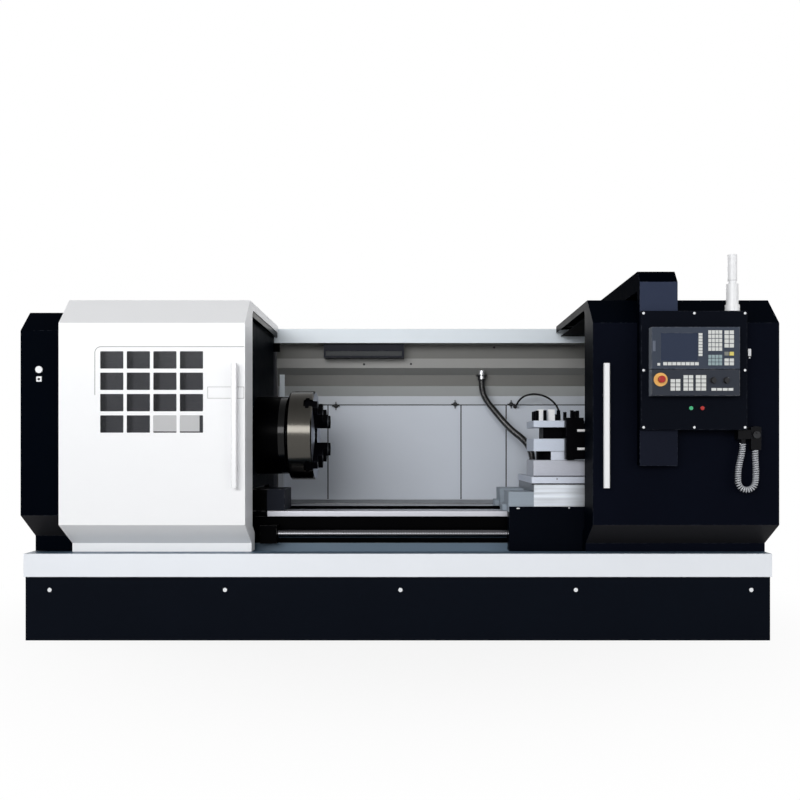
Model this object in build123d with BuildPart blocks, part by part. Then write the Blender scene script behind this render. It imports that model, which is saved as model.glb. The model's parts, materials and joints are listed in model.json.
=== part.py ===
"""CNC turning lathe: flat-bed machine with two sliding guard doors and a hanging operator panel.

Lengths are millimetres. The origin is on the floor under the middle of the base,
+X runs along the bed from the headstock to the tailstock, +Y runs to the rear and +Z is up.
"""
import os
from math import cos, hypot, radians, sin, tan

from build123d import *

os.makedirs("parts", exist_ok=True)

# Clearances and cutting allowance
overrun = 10.0
slide_gap = 0.3
turn_gap = 0.05
stand_off = 1.0

# Base and chip tray
machine_length = 4300.0
machine_depth = 1500.0
base_inset = 8.0
base_height = 367.0
base_wall = 12.0
base_plate = 25.0
base_rib = 16.0
base_rib_shares = (-0.36, -0.12, 0.12, 0.36)
anchor_inset_x = 200.0
anchor_inset_y = 150.0
anchor_radius = 15.0
skirt_bolt_count = 5
skirt_bolt_first = 149.0
skirt_bolt_last = 119.0
skirt_bolt_drop = 75.0
skirt_bolt_radius = 12.0
skirt_bolt_head = 7.0
tray_rise = 133.0
tray_gauge = 5.0
tray_rail_depth = 118.0
splash_rise = 28.0
splash_lean = 14.0
splash_gap = 15.0

# Bed
bed_end_inset = 70.0
bed_height = 359.0
bed_setback = 320.0
bed_width = 620.0
way_height = 36.0
way_width = 140.0
bed_undercut = 22.0
bed_channel = 170.0
bed_web = 40.0
bed_rib_shares = (-0.42, -0.3, -0.18, -0.06, 0.06, 0.18, 0.3, 0.42)
bed_edge = 4.0

# Headstock and spindle line
centre_height = 463.0
spindle_setback = 220.0
head_inset = 270.0
head_length = 985.0
head_half_width = 250.0
head_rise = 290.0
head_edge = 25.0
head_bore_radius = 105.0
nose_radius = 244.0
nose_length = 205.0
nose_edge = 6.0
foot_block_length = 200.0
foot_block_width = 300.0
foot_block_height = 131.0
spindle_radius = 90.0
spindle_bore_radius = 52.5
spindle_rear_inset = 150.0
spindle_flange_radius = 150.0
spindle_flange = 9.0
nose_gap = 2.0
bearing_radius = 145.0
bearing_width = 70.0
chuck_radius = 280.0
chuck_length = 152.0
chuck_edge = 8.0
chuck_bore_radius = 70.0
jaw_width = 62.0
jaw_key_width = 92.0
jaw_key_height = 22.0
jaw_slot_depth = 56.0
jaw_key_rise = 12.0
jaw_inner_radius = 95.0
jaw_length = 170.0
jaw_steps = 3
jaw_reach = 84.0
jaw_count = 4
jaw_first_angle = 45.0
pulley_length = 80.0
pulley_radius = 160.0
pulley_lip = 10.0
pulley_lip_width = 6.0
pulley_end = 10.0
motor_pulley_radius = 100.0
belt_gauge = 9.0
belt_gap = 0.4
motor_radius = 150.0
motor_length = 480.0
motor_offset_y = 430.0
motor_drop = 189.0
motor_shaft_radius = 30.0
motor_fin = 8.0
motor_fin_count = 24
motor_foot_length = 340.0
motor_foot_height = 90.0

# Doors
door_overhang = 100.0
door_gauge = 3.0
door_length = 1050.0
left_door_inset = 241.0
door_foot_setback = 205.0
door_foot_rise = 50.0
door_lower_rise = 123.0
door_front_rise = 1139.0
door_upper_rise = 154.0
door_upper_setback = 160.0
door_roof_depth = 1258.0
door_end_foot = 105.0
door_end_lower = 100.0
door_end_front = 237.0
door_end_upper = 105.0
door_end_roof = 45.0
door_back_flange = 25.0
pane_width = 131.0
pane_height = 98.0
pane_pitch_x = 149.5
pane_pitch_z = 120.3
pane_count = 4
pane_corner = 4.0
window_margin = 28.0
window_gauge = 4.0
window_inset_x = 524.0
window_top_drop = 160.0
handle_width = 33.0
handle_depth = 22.0
handle_length = 698.0
handle_stand = 28.0
handle_post_radius = 9.0
handle_post_share = 0.336
handle_top_drop = 231.0
handle_edge = 5.0
left_handle_inset = 54.5
right_handle_inset = 69.0

# Fixed covers at both ends
cover_setback = 60.0
cover_gauge = 3.0
cover_foot_setback = 204.0
cover_foot_rise = 88.0
cover_lower_rise = 135.0
cover_front_rise = 1054.0
cover_upper_rise = 121.0
cover_upper_setback = 128.0
cover_depth = 1190.0
end_cover_length = 1260.0
tail_cover_length = 1020.0
guard_gap = 6.0
cover_lamp_radius = 20.0
cover_lamp_height = 9.0
cover_lamp_inset = 108.0
cover_lamp_rise = 1054.0
cover_key_width = 30.0
cover_key_depth = 7.0
cover_key_drop = 54.0

# Rear guard
fascia_reach = 235.0
fascia_height = 99.0
beam_drop = 16.3
guard_gauge = 4.0
recess_reach = 100.0
recess_height = 263.0
fold_one_reach = 45.0
fold_one_start = 310.0
fold_one_stop = 390.0
wall_inset = 100.0
wall_drop = 460.0
ledge_rise = 5.0
ledge_lip = 12.0
ledge_gap = 15.0
rear_post_depth = 55.0
rear_post_width = 60.0
rear_post_shares = (0.0, 0.3, 0.55, 0.97)
corner_post_width = 38.0
corner_post_depth = 30.0
panel_gauge = 3.0
panel_seam = 6.0
panel_drop = 65.0
panel_bottom_gap = 6.0
panel_seam_shares = (0.1185, 0.4389, 0.5476)
lamp_inset = 348.0
lamp_length = 569.0
lamp_depth = 100.0
lamp_height = 100.0
lamp_lens_inset = 14.0
lamp_lens_depth = 6.0
lamp_lens_height = 34.0

# Electric cabinet at the rear
cabinet_inset = 20.0
cabinet_length = 1230.0
cabinet_front_gap = 6.0
cabinet_depth = 330.0
cabinet_height = 1350.0
cabinet_wall = 4.0
cabinet_rim = 30.0
cabinet_leg = 60.0
cabinet_door_gauge = 5.0
cabinet_hinge_radius = 8.0
cabinet_hinge_count = 3
cabinet_hinge_length = 90.0
cabinet_hinge_pitch = 480.0
cabinet_vent_count = 8
cabinet_vent_length = 240.0
cabinet_vent_height = 8.0
cabinet_vent_pitch = 24.0
cabinet_latch_radius = 14.0
cabinet_latch_height = 10.0

# Hanging arm, control box and operator panel
arm_door_inset = 245.0
arm_width = 212.0
arm_front = 70.0
arm_back = 14.0
arm_tail = 200.0
arm_roof_gap = 18.7
arm_chamfer = 68.0
arm_duct_height = 113.0
arm_rear_reach = 65.0
arm_foot_length = 110.0
box_width = 588.0
box_front = 98.0
box_door_rise = 706.7
box_height = 658.0
box_edge = 3.0
panel_width = 483.0
panel_inset_x = 43.0
panel_inset_z = 185.0
panel_lower_height = 144.0
panel_upper_height = 230.0
panel_split = 2.0
panel_depth = 58.0
panel_edge = 2.0
box_screw_inset = 14.0
box_screw_radius = 7.0
box_screw_head = 3.0
screen_shares = (0.106, 0.522, 0.147, 0.806)
screen_sink = 3.0
screen_gauge = 2.0
key_height = 3.0
key_gap_share = 0.15
upper_key_shares = (
    (0.525, 0.577, 0.145, 0.7, 1, 8),
    (0.127, 0.535, 0.832, 0.92, 8, 1),
    (0.062, 0.098, 0.855, 0.925, 1, 1),
    (0.008, 0.046, 0.31, 0.6, 1, 1),
    (0.636, 0.798, 0.076, 0.578, 4, 5),
    (0.818, 0.932, 0.08, 0.5, 2, 4),
    (0.818, 0.932, 0.585, 0.69, 2, 1),
    (0.636, 0.798, 0.66, 0.92, 4, 3),
    (0.818, 0.932, 0.745, 0.92, 2, 2),
)
lower_key_shares = (
    (0.209, 0.327, 0.36, 0.82, 2, 3),
    (0.355, 0.472, 0.21, 0.82, 2, 4),
    (0.494, 0.619, 0.21, 0.82, 2, 4),
    (0.67, 0.925, 0.7, 0.82, 4, 1),
)
stop_share = (0.099, 0.39)
stop_radius = 19.0
stop_stem_radius = 11.0
stop_height = 26.0
stop_stroke = 5.0
stop_collar_radius = 37.0
stop_collar_height = 9.0
knob_shares = ((0.695, 0.42), (0.842, 0.42))
knob_radius = 17.0
knob_height = 18.0
knob_skirt = 4.0
knob_grip = 8.0
push_shares = (0.4803, 0.6087)
push_drop = 65.0
push_bezel_radius = 15.0
push_bezel_height = 5.0
push_radius = 11.0
push_height = 9.0
push_stroke = 3.0
push_depth = 6.0
signal_inset = 69.0
signal_foot_radius = 40.0
signal_foot = 38.0
signal_tube_radius = 33.0
signal_tube = 116.0
signal_neck_radius = 22.0
signal_neck = 19.0
signal_top_radius = 26.0
signal_top = 144.0

# Hand pendant and its cord
outlet_width = 70.0
outlet_inset = 43.0
outlet_height = 50.0
outlet_depth = 56.0
outlet_gland_radius = 17.0
outlet_gland = 22.0
pendant_reach = 61.0
pendant_width = 56.0
pendant_height = 128.0
pendant_depth = 34.0
pendant_drop = 111.0
pendant_edge = 6.0
pendant_stand = 50.0
hook_width = 30.0
hook_gauge = 4.0
dial_radius = 20.0
dial_height = 10.0
dial_drop = 44.0
dial_knob_radius = 4.0
dial_knob_height = 7.0
curl_radius = 17.5
curl_route = (
    (1925.0, 1135.0),
    (1925.0, 1100.0),
    (1914.0, 1050.0),
    (1902.0, 1000.0),
    (1898.0, 950.0),
    (1900.0, 908.0),
    (1912.0, 886.0),
    (1934.0, 874.0),
    (1960.0, 874.0),
    (1982.0, 886.0),
    (1994.0, 908.0),
    (1998.0, 950.0),
    (1998.0, 1000.0),
    (1994.0, 1050.0),
    (1994.0, 1096.0),
)

# Carriage
carriage_inset = 1490.0
saddle_length = 640.0
saddle_front_overhang = 95.0
saddle_rear_overhang = 25.0
saddle_wing_rise = 119.0
saddle_wing_depth = 250.0
saddle_mid_inset = 153.0
saddle_mid_width = 348.0
saddle_mid_rise = 170.0
saddle_edge = 3.0
apron_inset = 4.0
apron_length = 612.0
apron_proud = 10.0
apron_back_gap = 6.0
apron_drop = 236.0
apron_rise = 31.0
apron_wall = 8.0
wiper_length = 26.0
wiper_height = 40.0
nut_width = 84.0
nut_length = 150.0
screw_radius = 25.0
screw_offset = 40.0
screw_drop = 137.0
screw_start_gap = 60.0
screw_end_inset = 175.0
screw_collar_radius = 32.0
screw_collar = 30.0
bracket_length = 100.0
bracket_height = 110.0
servo_size = 110.0
servo_length = 150.0
servo_edge = 8.0
cross_overhang = 16.0
cross_width = 378.0
cross_front_overhang = 10.0
cross_rear_inset = 75.0
cross_height = 39.0
cross_channel = 96.0
cross_channel_depth = 76.0
cross_screw_radius = 20.0
cross_screw_drop = 42.0
cross_nut_width = 70.0
cross_nut_length = 90.0
cross_nut_offset = 50.0
cross_servo_size = 120.0
cross_servo_length = 180.0
cross_servo_drop = 10.0
post_inset = 315.0
post_offset = 103.0
post_size = 315.0
post_base_height = 99.0
post_neck_radius = 118.0
post_cover_width = 98.0
post_cover_depth = 24.0
post_lower = 75.0
post_slot = 70.0
post_upper = 40.0
post_core = 175.0
post_edge = 3.0
tool_shank = 25.0
clamp_radius = 11.0
clamp_rise = 64.0
clamp_count = 3
clamp_pitch = 82.0
clamp_inset = 34.0
holder_length = 127.5
holder_depth = 64.0
holder_proud = 58.0
holder_foot_gap = 6.0
holder_rise = 16.0
holder_step = 20.0
holder_reach = 30.0
boring_bar_radius = 8.0
boring_bar_length = 90.0
boring_bar_shares = (0.25, 0.69)
terminal_depth = 68.0
terminal_height = 60.0
line_gland_radius = 28.0
line_gland_gap = 0.5

# Conduit and cable from the rear guard to the carriage
hose_radius = 21.0
hose_route = (
    (588.0, 568.0, 1598.0),
    (588.0, 568.0, 1530.0),
    (620.0, 558.0, 1452.0),
    (695.0, 530.0, 1355.0),
    (781.0, 460.0, 1245.0),
    (868.0, 392.0, 1172.0),
    (912.0, 364.0, 1105.0),
    (927.0, 354.0, 1032.0),
    (927.0, 354.0, 990.0),
)
hose_bracket = 76.0
hose_bracket_gauge = 6.0
hose_nut_radius = 28.0
hose_nut = 34.0
cable_radius = 5.5
cable_route = (
    (838.0, 639.0, 1414.0),
    (838.0, 600.0, 1414.0),
    (843.0, 566.0, 1428.0),
    (858.0, 545.0, 1458.0),
    (892.0, 532.0, 1484.0),
    (938.0, 520.0, 1497.0),
    (988.0, 504.0, 1495.0),
    (1034.0, 481.0, 1479.0),
    (1073.0, 453.0, 1452.0),
    (1103.0, 424.0, 1414.0),
    (1120.0, 398.0, 1367.0),
    (1121.0, 378.0, 1315.0),
    (1106.0, 364.0, 1262.0),
    (1081.0, 357.0, 1213.0),
    (1052.0, 354.0, 1165.0),
    (1028.0, 354.0, 1112.0),
    (1014.0, 354.0, 1056.0),
    (1012.0, 354.0, 1020.0),
    (1012.0, 354.0, 990.0),
)
cable_gland_radius = 14.0
cable_gland = 8.0

# Tailstock
tail_inset = 510.0
tail_base_length = 360.0
tail_base_height = 110.0
tail_neck_width = 230.0
barrel_radius = 105.0
barrel_proud = 10.0
barrel_length = 400.0
quill_radius = 50.0
quill_proud = 45.0
centre_radius = 34.0
centre_body = 46.0
centre_tip = 60.0
centre_shank_radius = 22.0
centre_shank = 60.0
wheel_radius = 150.0
wheel_rim_radius = 13.0
wheel_hub_radius = 34.0
wheel_hub = 60.0
wheel_spoke_radius = 9.0
wheel_spokes = 3
wheel_stub_radius = 24.0

# Places that follow from the sizes above
half_length = machine_length / 2
front_y = -machine_depth / 2
rear_y = machine_depth / 2
tray_top = base_height + tray_rise
bed_top = base_height + bed_height
bed_length = machine_length - 2 * bed_end_inset
anchor_pitch_x = machine_length - 2 * anchor_inset_x
anchor_pitch_y = machine_depth - 2 * anchor_inset_y
skirt_bolt_pitch = (machine_length - skirt_bolt_first - skirt_bolt_last) / (skirt_bolt_count - 1)
bed_front_y = front_y + bed_setback
bed_rear_y = bed_front_y + bed_width
spindle_y = bed_front_y + spindle_setback
spindle_z = bed_top + centre_height
spindle_rear = -half_length + spindle_rear_inset
head_start = -half_length + head_inset
head_end = head_start + head_length
end_cover_end = -half_length + end_cover_length
tail_cover_start = half_length - tail_cover_length
nose_end = head_end + nose_length
chuck_back = nose_end + nose_gap + spindle_flange
chuck_face = chuck_back + chuck_length
door_y = front_y - door_overhang
door_z = tray_top + slide_gap
door_shoulder_z = door_z + door_foot_rise + door_lower_rise + door_front_rise
door_roof_z = door_shoulder_z + door_upper_rise
left_door_start = -half_length + left_door_inset
left_door_end = left_door_start + door_length
right_door_end = half_length
right_door_start = right_door_end - door_length
cover_y = door_y + cover_setback
cover_rear_y = cover_y + cover_depth
wall_y = rear_y - wall_inset
fold_one_y = wall_y - fold_one_reach
recess_y = wall_y - recess_reach
fascia_y = wall_y - fascia_reach
beam_top = door_roof_z - beam_drop
recess_bottom = beam_top - recess_height
fold_one_top = beam_top - fold_one_start
fold_one_bottom = beam_top - fold_one_stop
wall_top = beam_top - wall_drop
panel_top = wall_top - panel_drop
ledge_z = bed_top + ledge_rise
cabinet_start = -half_length + cabinet_inset
arm_start = right_door_start + arm_door_inset
arm_rear_y = fascia_y + arm_rear_reach
arm_duct_z = door_roof_z + arm_roof_gap
arm_top = arm_duct_z + arm_duct_height
box_bottom = door_z + box_door_rise
arm_bottom = box_bottom - arm_tail
box_y = door_y - box_front
box_end = arm_start + box_width
box_top = box_bottom + box_height
panel_y = box_y - panel_depth
panel_x = arm_start + panel_inset_x
panel_z = box_bottom + panel_inset_z
push_x = [panel_x + share * panel_width for share in push_shares]
push_z = panel_z - push_drop
signal_x = box_end - signal_inset
outlet_start = box_end - outlet_inset
pendant_x = box_end + pendant_reach
pendant_y = door_y - pendant_stand
pendant_bottom = box_bottom - pendant_drop
motor_y = spindle_y + motor_offset_y
motor_z = spindle_z - motor_drop
pulley_start = spindle_rear + pulley_end
pulley_stop = pulley_start + pulley_length
saddle_start = half_length - carriage_inset
saddle_end = saddle_start + saddle_length
saddle_front_y = bed_front_y - saddle_front_overhang
saddle_rear_y = bed_rear_y + saddle_rear_overhang
saddle_wing_top = bed_top + saddle_wing_rise
saddle_mid_top = bed_top + saddle_mid_rise
saddle_mid_start = saddle_start + saddle_mid_inset
saddle_mid_end = saddle_mid_start + saddle_mid_width
apron_start = saddle_start + apron_inset
apron_front_y = saddle_front_y - apron_proud
apron_bottom = bed_top - apron_drop
apron_top = bed_top + apron_rise
screw_y = bed_front_y - screw_offset
screw_z = bed_top - screw_drop
screw_start = end_cover_end + screw_start_gap
screw_end = half_length - screw_end_inset
cross_start = saddle_mid_start - cross_overhang
cross_front_y = saddle_front_y - cross_front_overhang
cross_rear_y = saddle_rear_y - cross_rear_inset
cross_nut_y = spindle_y - cross_nut_offset
post_x = saddle_start + post_inset
post_y = spindle_y - post_offset
tail_base_start = half_length - tail_inset
barrel_start = tail_base_start - barrel_proud
quill_start = barrel_start - quill_proud
cross_bottom = saddle_mid_top + slide_gap
cross_top = cross_bottom + cross_height
post_base_top = cross_top + post_base_height
slot_floor = spindle_z - tool_shank
post_bottom = slot_floor - post_lower
slot_roof = slot_floor + post_slot
post_top = slot_roof + post_upper
cross_screw_z = saddle_mid_top - cross_screw_drop


def block(x_span, y_span, z_span, mode=Mode.ADD):
    """Rectangular block between three pairs of limits."""
    size = [span[1] - span[0] for span in (x_span, y_span, z_span)]
    with Locations([tuple((span[0] + span[1]) / 2 for span in (x_span, y_span, z_span))]):
        Box(*size, mode=mode)


def profile_x(points, x_span, mode=Mode.ADD):
    """Closed outline of (y, z) points drawn out along X."""
    with BuildSketch(Plane.YZ.offset(x_span[0])) as outline:
        with BuildLine():
            Polyline(*points, close=True)
        make_face()
    extrude(outline.sketch, amount=x_span[1] - x_span[0], mode=mode)


def round_x(x_span, y, z, radius, mode=Mode.ADD):
    """Round bar along X."""
    with BuildSketch(Plane.YZ.offset(x_span[0])) as outline:
        with Locations((y, z)):
            Circle(radius)
    extrude(outline.sketch, amount=x_span[1] - x_span[0], mode=mode)


def round_y(x, y_span, z, radius, mode=Mode.ADD):
    """Round bar along Y."""
    with BuildSketch(Plane.XZ.offset(-y_span[1])) as outline:
        with Locations((x, z)):
            Circle(radius)
    extrude(outline.sketch, amount=y_span[1] - y_span[0], mode=mode)


def round_z(x, y, z_span, radius, mode=Mode.ADD):
    """Round bar along Z."""
    with BuildSketch(Plane.XY.offset(z_span[0])) as outline:
        with Locations((x, y)):
            Circle(radius)
    extrude(outline.sketch, amount=z_span[1] - z_span[0], mode=mode)


def inner_line(points, depths):
    """Line lying inside a folded line, each run moved in by its own depth."""
    runs = []
    for start, end in zip(points, points[1:]):
        length = hypot(end[0] - start[0], end[1] - start[1])
        runs.append(((end[1] - start[1]) / length, (start[0] - end[0]) / length))
    line = []
    for place, point in enumerate(points):
        before = max(place - 1, 0)
        after = min(place, len(runs) - 1)
        (a, b), (c, d) = runs[before], runs[after]
        lead, trail = depths[before], depths[after]
        cross = a * d - b * c
        if before == after:
            shift = (a * lead, b * lead)
        else:
            shift = ((lead * d - trail * b) / cross, (a * trail - c * lead) / cross)
        line.append((point[0] + shift[0], point[1] + shift[1]))
    return line


def folded(points, depths, x_span):
    """Sheet of the given depth inside a folded line, drawn out along X."""
    profile_x(list(points) + inner_line(points, depths)[::-1], x_span)


def fillet_radius(route):
    """Largest arc that fits every corner of a cord route."""
    radii = []
    for before, corner, after in zip(route, route[1:], route[2:]):
        lead = Vector(*corner) - Vector(*before)
        trail = Vector(*after) - Vector(*corner)
        half_turn = radians(lead.get_angle(trail)) / 2
        radii.append(0.45 * min(lead.length, trail.length) / tan(half_turn))
    return min(radii)


def cord(route, radius):
    """Round cord swept along straight runs joined by arcs."""
    bend = fillet_radius(route)
    print("cord arc radius", round(bend, 1), "in diameters", round(bend / (2 * radius), 1))
    with BuildLine() as path:
        FilletPolyline(*route, radius=bend)
    start = path.line @ 0
    heading = path.line % 0
    with BuildSketch(Plane(origin=start, z_dir=heading)) as ring:
        Circle(radius)
    sweep(ring.sketch, path=path.line)


def ring_hull(x_span, places, mode=Mode.ADD):
    """Loop round circles given as (y, z, radius), drawn out along X."""
    with BuildSketch(Plane.YZ.offset(x_span[0])) as outline:
        for y, z, radius in places:
            with Locations((y, z)):
                Circle(radius)
        make_hull()
    extrude(outline.sketch, amount=x_span[1] - x_span[0], mode=mode)


# Welded base with a bottom plate, skirt walls and ribs
base_half = half_length - base_inset
base_front = front_y + base_inset
base_back = rear_y - base_inset
flank_front = bed_front_y + bed_undercut
flank_rear = bed_rear_y - bed_undercut
with BuildPart() as base_stand:
    block((-base_half, base_half), (base_front, base_back), (0, base_height))
    block(
        (-base_half + base_wall, base_half - base_wall),
        (base_front + base_wall, base_back - base_wall),
        (base_plate, base_height + overrun),
        Mode.SUBTRACT,
    )
    for flank in (flank_front, flank_rear - base_rib):
        block(
            (-base_half + base_wall, base_half - base_wall),
            (flank, flank + base_rib),
            (base_plate, base_height),
        )
    for share in base_rib_shares:
        middle = share * machine_length
        block(
            (middle - base_rib / 2, middle + base_rib / 2),
            (base_front + base_wall, base_back - base_wall),
            (base_plate, base_height),
        )
    with Locations((0, 0, base_plate / 2)):
        with GridLocations(anchor_pitch_x, anchor_pitch_y, 2, 2):
            Cylinder(anchor_radius, base_plate + overrun, mode=Mode.SUBTRACT)

# Chip tray: hollow front rim that carries the doors, trough, splash plate and rim walls
rail_y = front_y + tray_rail_depth
splash_y = flank_front - splash_gap
with BuildPart() as chip_tray:
    block((-half_length, half_length), (front_y, rear_y), (base_height, tray_top))
    block(
        (-half_length + tray_gauge, half_length - tray_gauge),
        (rail_y, rear_y - tray_gauge),
        (base_height + tray_gauge, tray_top + overrun),
        Mode.SUBTRACT,
    )
    block(
        (-half_length + tray_gauge, half_length - tray_gauge),
        (front_y + tray_gauge, rail_y - tray_gauge),
        (base_height + tray_gauge, tray_top - tray_gauge),
        Mode.SUBTRACT,
    )
    profile_x(
        (
            (splash_y - splash_lean, base_height),
            (splash_y - splash_lean + tray_gauge, base_height),
            (splash_y + tray_gauge, tray_top + splash_rise),
            (splash_y, tray_top + splash_rise),
        ),
        (-half_length + tray_gauge, half_length - tray_gauge),
    )
    block(
        (-bed_length / 2 - splash_gap, bed_length / 2 + splash_gap),
        (flank_front - splash_gap / 2, flank_rear + splash_gap),
        (base_height - overrun, base_height + tray_gauge + overrun),
        Mode.SUBTRACT,
    )

# Bed casting with two ground ways, an undercut below them and a ribbed channel between
bed_half = bed_length / 2
channel_front = bed_front_y + way_width
channel_rear = bed_rear_y - way_width
with BuildPart() as bed:
    profile_x(
        (
            (flank_front, base_height),
            (flank_rear, base_height),
            (flank_rear, bed_top - way_height),
            (bed_rear_y, bed_top - way_height),
            (bed_rear_y, bed_top - bed_edge),
            (bed_rear_y - bed_edge, bed_top),
            (bed_front_y + bed_edge, bed_top),
            (bed_front_y, bed_top - bed_edge),
            (bed_front_y, bed_top - way_height),
            (flank_front, bed_top - way_height),
        ),
        (-bed_half, bed_half),
    )
    block(
        (head_end, bed_half - bed_web),
        (channel_front, channel_rear),
        (bed_top - bed_channel, bed_top + overrun),
        Mode.SUBTRACT,
    )
    for share in bed_rib_shares:
        if share * bed_length > head_end:
            block(
                (share * bed_length, share * bed_length + bed_web),
                (channel_front, channel_rear),
                (bed_top - bed_channel, bed_top - way_height),
            )

# Headstock casting with its round nose and the block under it
with BuildPart() as headstock:
    block(
        (head_start, head_end),
        (spindle_y - head_half_width, spindle_y + head_half_width),
        (bed_top, spindle_z + head_rise),
    )
    chamfer(headstock.edges().filter_by(Axis.X).group_by(Axis.Z)[-1], head_edge)
    round_x((head_end, nose_end), spindle_y, spindle_z, nose_radius)
    chamfer(headstock.faces().sort_by(Axis.X)[-1].edges(), nose_edge)
    block(
        (head_end, head_end + foot_block_length),
        (bed_front_y, bed_front_y + foot_block_width),
        (bed_top, bed_top + foot_block_height),
    )
    round_x((head_start - overrun, nose_end + overrun), spindle_y, spindle_z, head_bore_radius, Mode.SUBTRACT)
    for seat in (head_start, nose_end - bearing_width):
        round_x((seat, seat + bearing_width), spindle_y, spindle_z, bearing_radius, Mode.SUBTRACT)

with BuildPart() as spindle_bearings:
    for seat in (head_start, nose_end - bearing_width):
        round_x((seat, seat + bearing_width), spindle_y, spindle_z, bearing_radius)
        round_x(
            (seat - overrun, seat + bearing_width + overrun),
            spindle_y,
            spindle_z,
            spindle_radius + turn_gap,
            Mode.SUBTRACT,
        )

# Hollow spindle with its nose flange and belt pulley
with BuildPart() as spindle:
    round_x((spindle_rear, chuck_back), spindle_y, spindle_z, spindle_radius)
    round_x((nose_end + nose_gap, chuck_back), spindle_y, spindle_z, spindle_flange_radius)
    round_x((pulley_start, pulley_stop), spindle_y, spindle_z, pulley_radius)
    for lip in (pulley_start, pulley_stop - pulley_lip_width):
        round_x((lip, lip + pulley_lip_width), spindle_y, spindle_z, pulley_radius + pulley_lip)
    round_x(
        (spindle_rear - overrun, chuck_back + overrun),
        spindle_y,
        spindle_z,
        spindle_bore_radius,
        Mode.SUBTRACT,
    )


def jaw_plane(place):
    """Plane through one jaw, its X outward along the jaw and its Y along the spindle."""
    angle = radians(jaw_first_angle + place * 360 / jaw_count)
    return Plane(
        origin=(chuck_face, spindle_y, spindle_z),
        x_dir=(0, cos(angle), sin(angle)),
        z_dir=(0, sin(angle), -cos(angle)),
    )


def jaw_bar(place, r_span, x_span, width, mode=Mode.ADD):
    """Block along one jaw between two radii and two distances from the chuck face."""
    with BuildSketch(jaw_plane(place)) as outline:
        with Locations(((r_span[0] + r_span[1]) / 2, (x_span[0] + x_span[1]) / 2)):
            Rectangle(r_span[1] - r_span[0], x_span[1] - x_span[0])
    extrude(outline.sketch, amount=width / 2, both=True, mode=mode)


# Chuck body with four slots whose side grooves hold the jaws
key_floor = -jaw_slot_depth + jaw_key_rise
with BuildPart() as chuck_body:
    round_x((chuck_back, chuck_face), spindle_y, spindle_z, chuck_radius)
    chamfer(chuck_body.edges().filter_by(GeomType.CIRCLE), chuck_edge)
    round_x(
        (chuck_back - overrun, chuck_face + overrun),
        spindle_y,
        spindle_z,
        chuck_bore_radius,
        Mode.SUBTRACT,
    )
    for place in range(jaw_count):
        jaw_bar(place, (0, chuck_radius + overrun), (-jaw_slot_depth, overrun), jaw_width, Mode.SUBTRACT)
        jaw_bar(
            place,
            (0, chuck_radius + overrun),
            (key_floor, key_floor + jaw_key_height),
            jaw_key_width,
            Mode.SUBTRACT,
        )

chuck_jaws = []
jaw_step = jaw_length / jaw_steps
for place in range(jaw_count):
    with BuildPart() as jaw:
        for step in range(jaw_steps):
            jaw_bar(
                place,
                (jaw_inner_radius, jaw_inner_radius + jaw_length - step * jaw_step),
                (-jaw_slot_depth + slide_gap, jaw_reach * (step + 1) / jaw_steps),
                jaw_width - 2 * slide_gap,
            )
        jaw_bar(
            place,
            (jaw_inner_radius, jaw_inner_radius + jaw_length),
            (key_floor + slide_gap, key_floor + jaw_key_height - slide_gap),
            jaw_key_width - 2 * slide_gap,
        )
    chuck_jaws.append(jaw)

# Main motor behind the headstock, its pulley and the belt
motor_start = head_start
motor_end = motor_start + motor_length
motor_mid = motor_start + motor_length / 2
with BuildPart() as main_motor:
    round_x((motor_start, motor_end), motor_y, motor_z, motor_radius - motor_fin)
    for fin in range(motor_fin_count):
        with Locations(Location((motor_start, motor_y, motor_z), (fin * 360 / motor_fin_count, 0, 0))):
            with Locations((motor_length / 2, 0, motor_radius - motor_fin)):
                Box(motor_length, motor_fin, 2 * motor_fin)
    block(
        (motor_mid - motor_foot_length / 2, motor_mid + motor_foot_length / 2),
        (spindle_y + head_half_width, motor_y),
        (motor_z - motor_foot_height / 2, motor_z + motor_foot_height / 2),
    )

with BuildPart() as motor_pulley:
    round_x((pulley_start, pulley_stop), motor_y, motor_z, motor_pulley_radius)
    for lip in (pulley_start, pulley_stop - pulley_lip_width):
        round_x((lip, lip + pulley_lip_width), motor_y, motor_z, motor_pulley_radius + pulley_lip)
    round_x((pulley_stop, motor_start - slide_gap), motor_y, motor_z, motor_shaft_radius)

belt_span = (pulley_start + pulley_lip_width + belt_gap, pulley_stop - pulley_lip_width - belt_gap)
belt_cut = (belt_span[0] - overrun, belt_span[1] + overrun)
with BuildPart() as drive_belt:
    ring_hull(
        belt_span,
        (
            (spindle_y, spindle_z, pulley_radius + belt_gap + belt_gauge),
            (motor_y, motor_z, motor_pulley_radius + belt_gap + belt_gauge),
        ),
    )
    ring_hull(
        belt_cut,
        (
            (spindle_y, spindle_z, pulley_radius + belt_gap),
            (motor_y, motor_z, motor_pulley_radius + belt_gap),
        ),
        Mode.SUBTRACT,
    )

# Sliding doors: one folded sheet each, a deep end frame towards the opening and a small flange behind
door_foot_y = door_y + door_foot_setback
door_line = (
    (door_foot_y, door_z),
    (door_foot_y, door_z + door_foot_rise),
    (door_y, door_z + door_foot_rise + door_lower_rise),
    (door_y, door_shoulder_z),
    (door_y + door_upper_setback, door_roof_z),
    (door_y + door_roof_depth, door_roof_z),
)
door_runs = len(door_line) - 1
door_sheet = [door_gauge] * door_runs
door_end_frame = (door_end_foot, door_end_lower, door_end_front, door_end_upper, door_end_roof)
door_flange = [door_back_flange] * door_runs
pane_mid_x = left_door_start + window_inset_x
pane_field = pane_pitch_z * (pane_count - 1) + pane_height
pane_row = pane_pitch_x * (pane_count - 1) + pane_width
pane_mid_z = door_shoulder_z - window_top_drop - pane_field / 2

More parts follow.
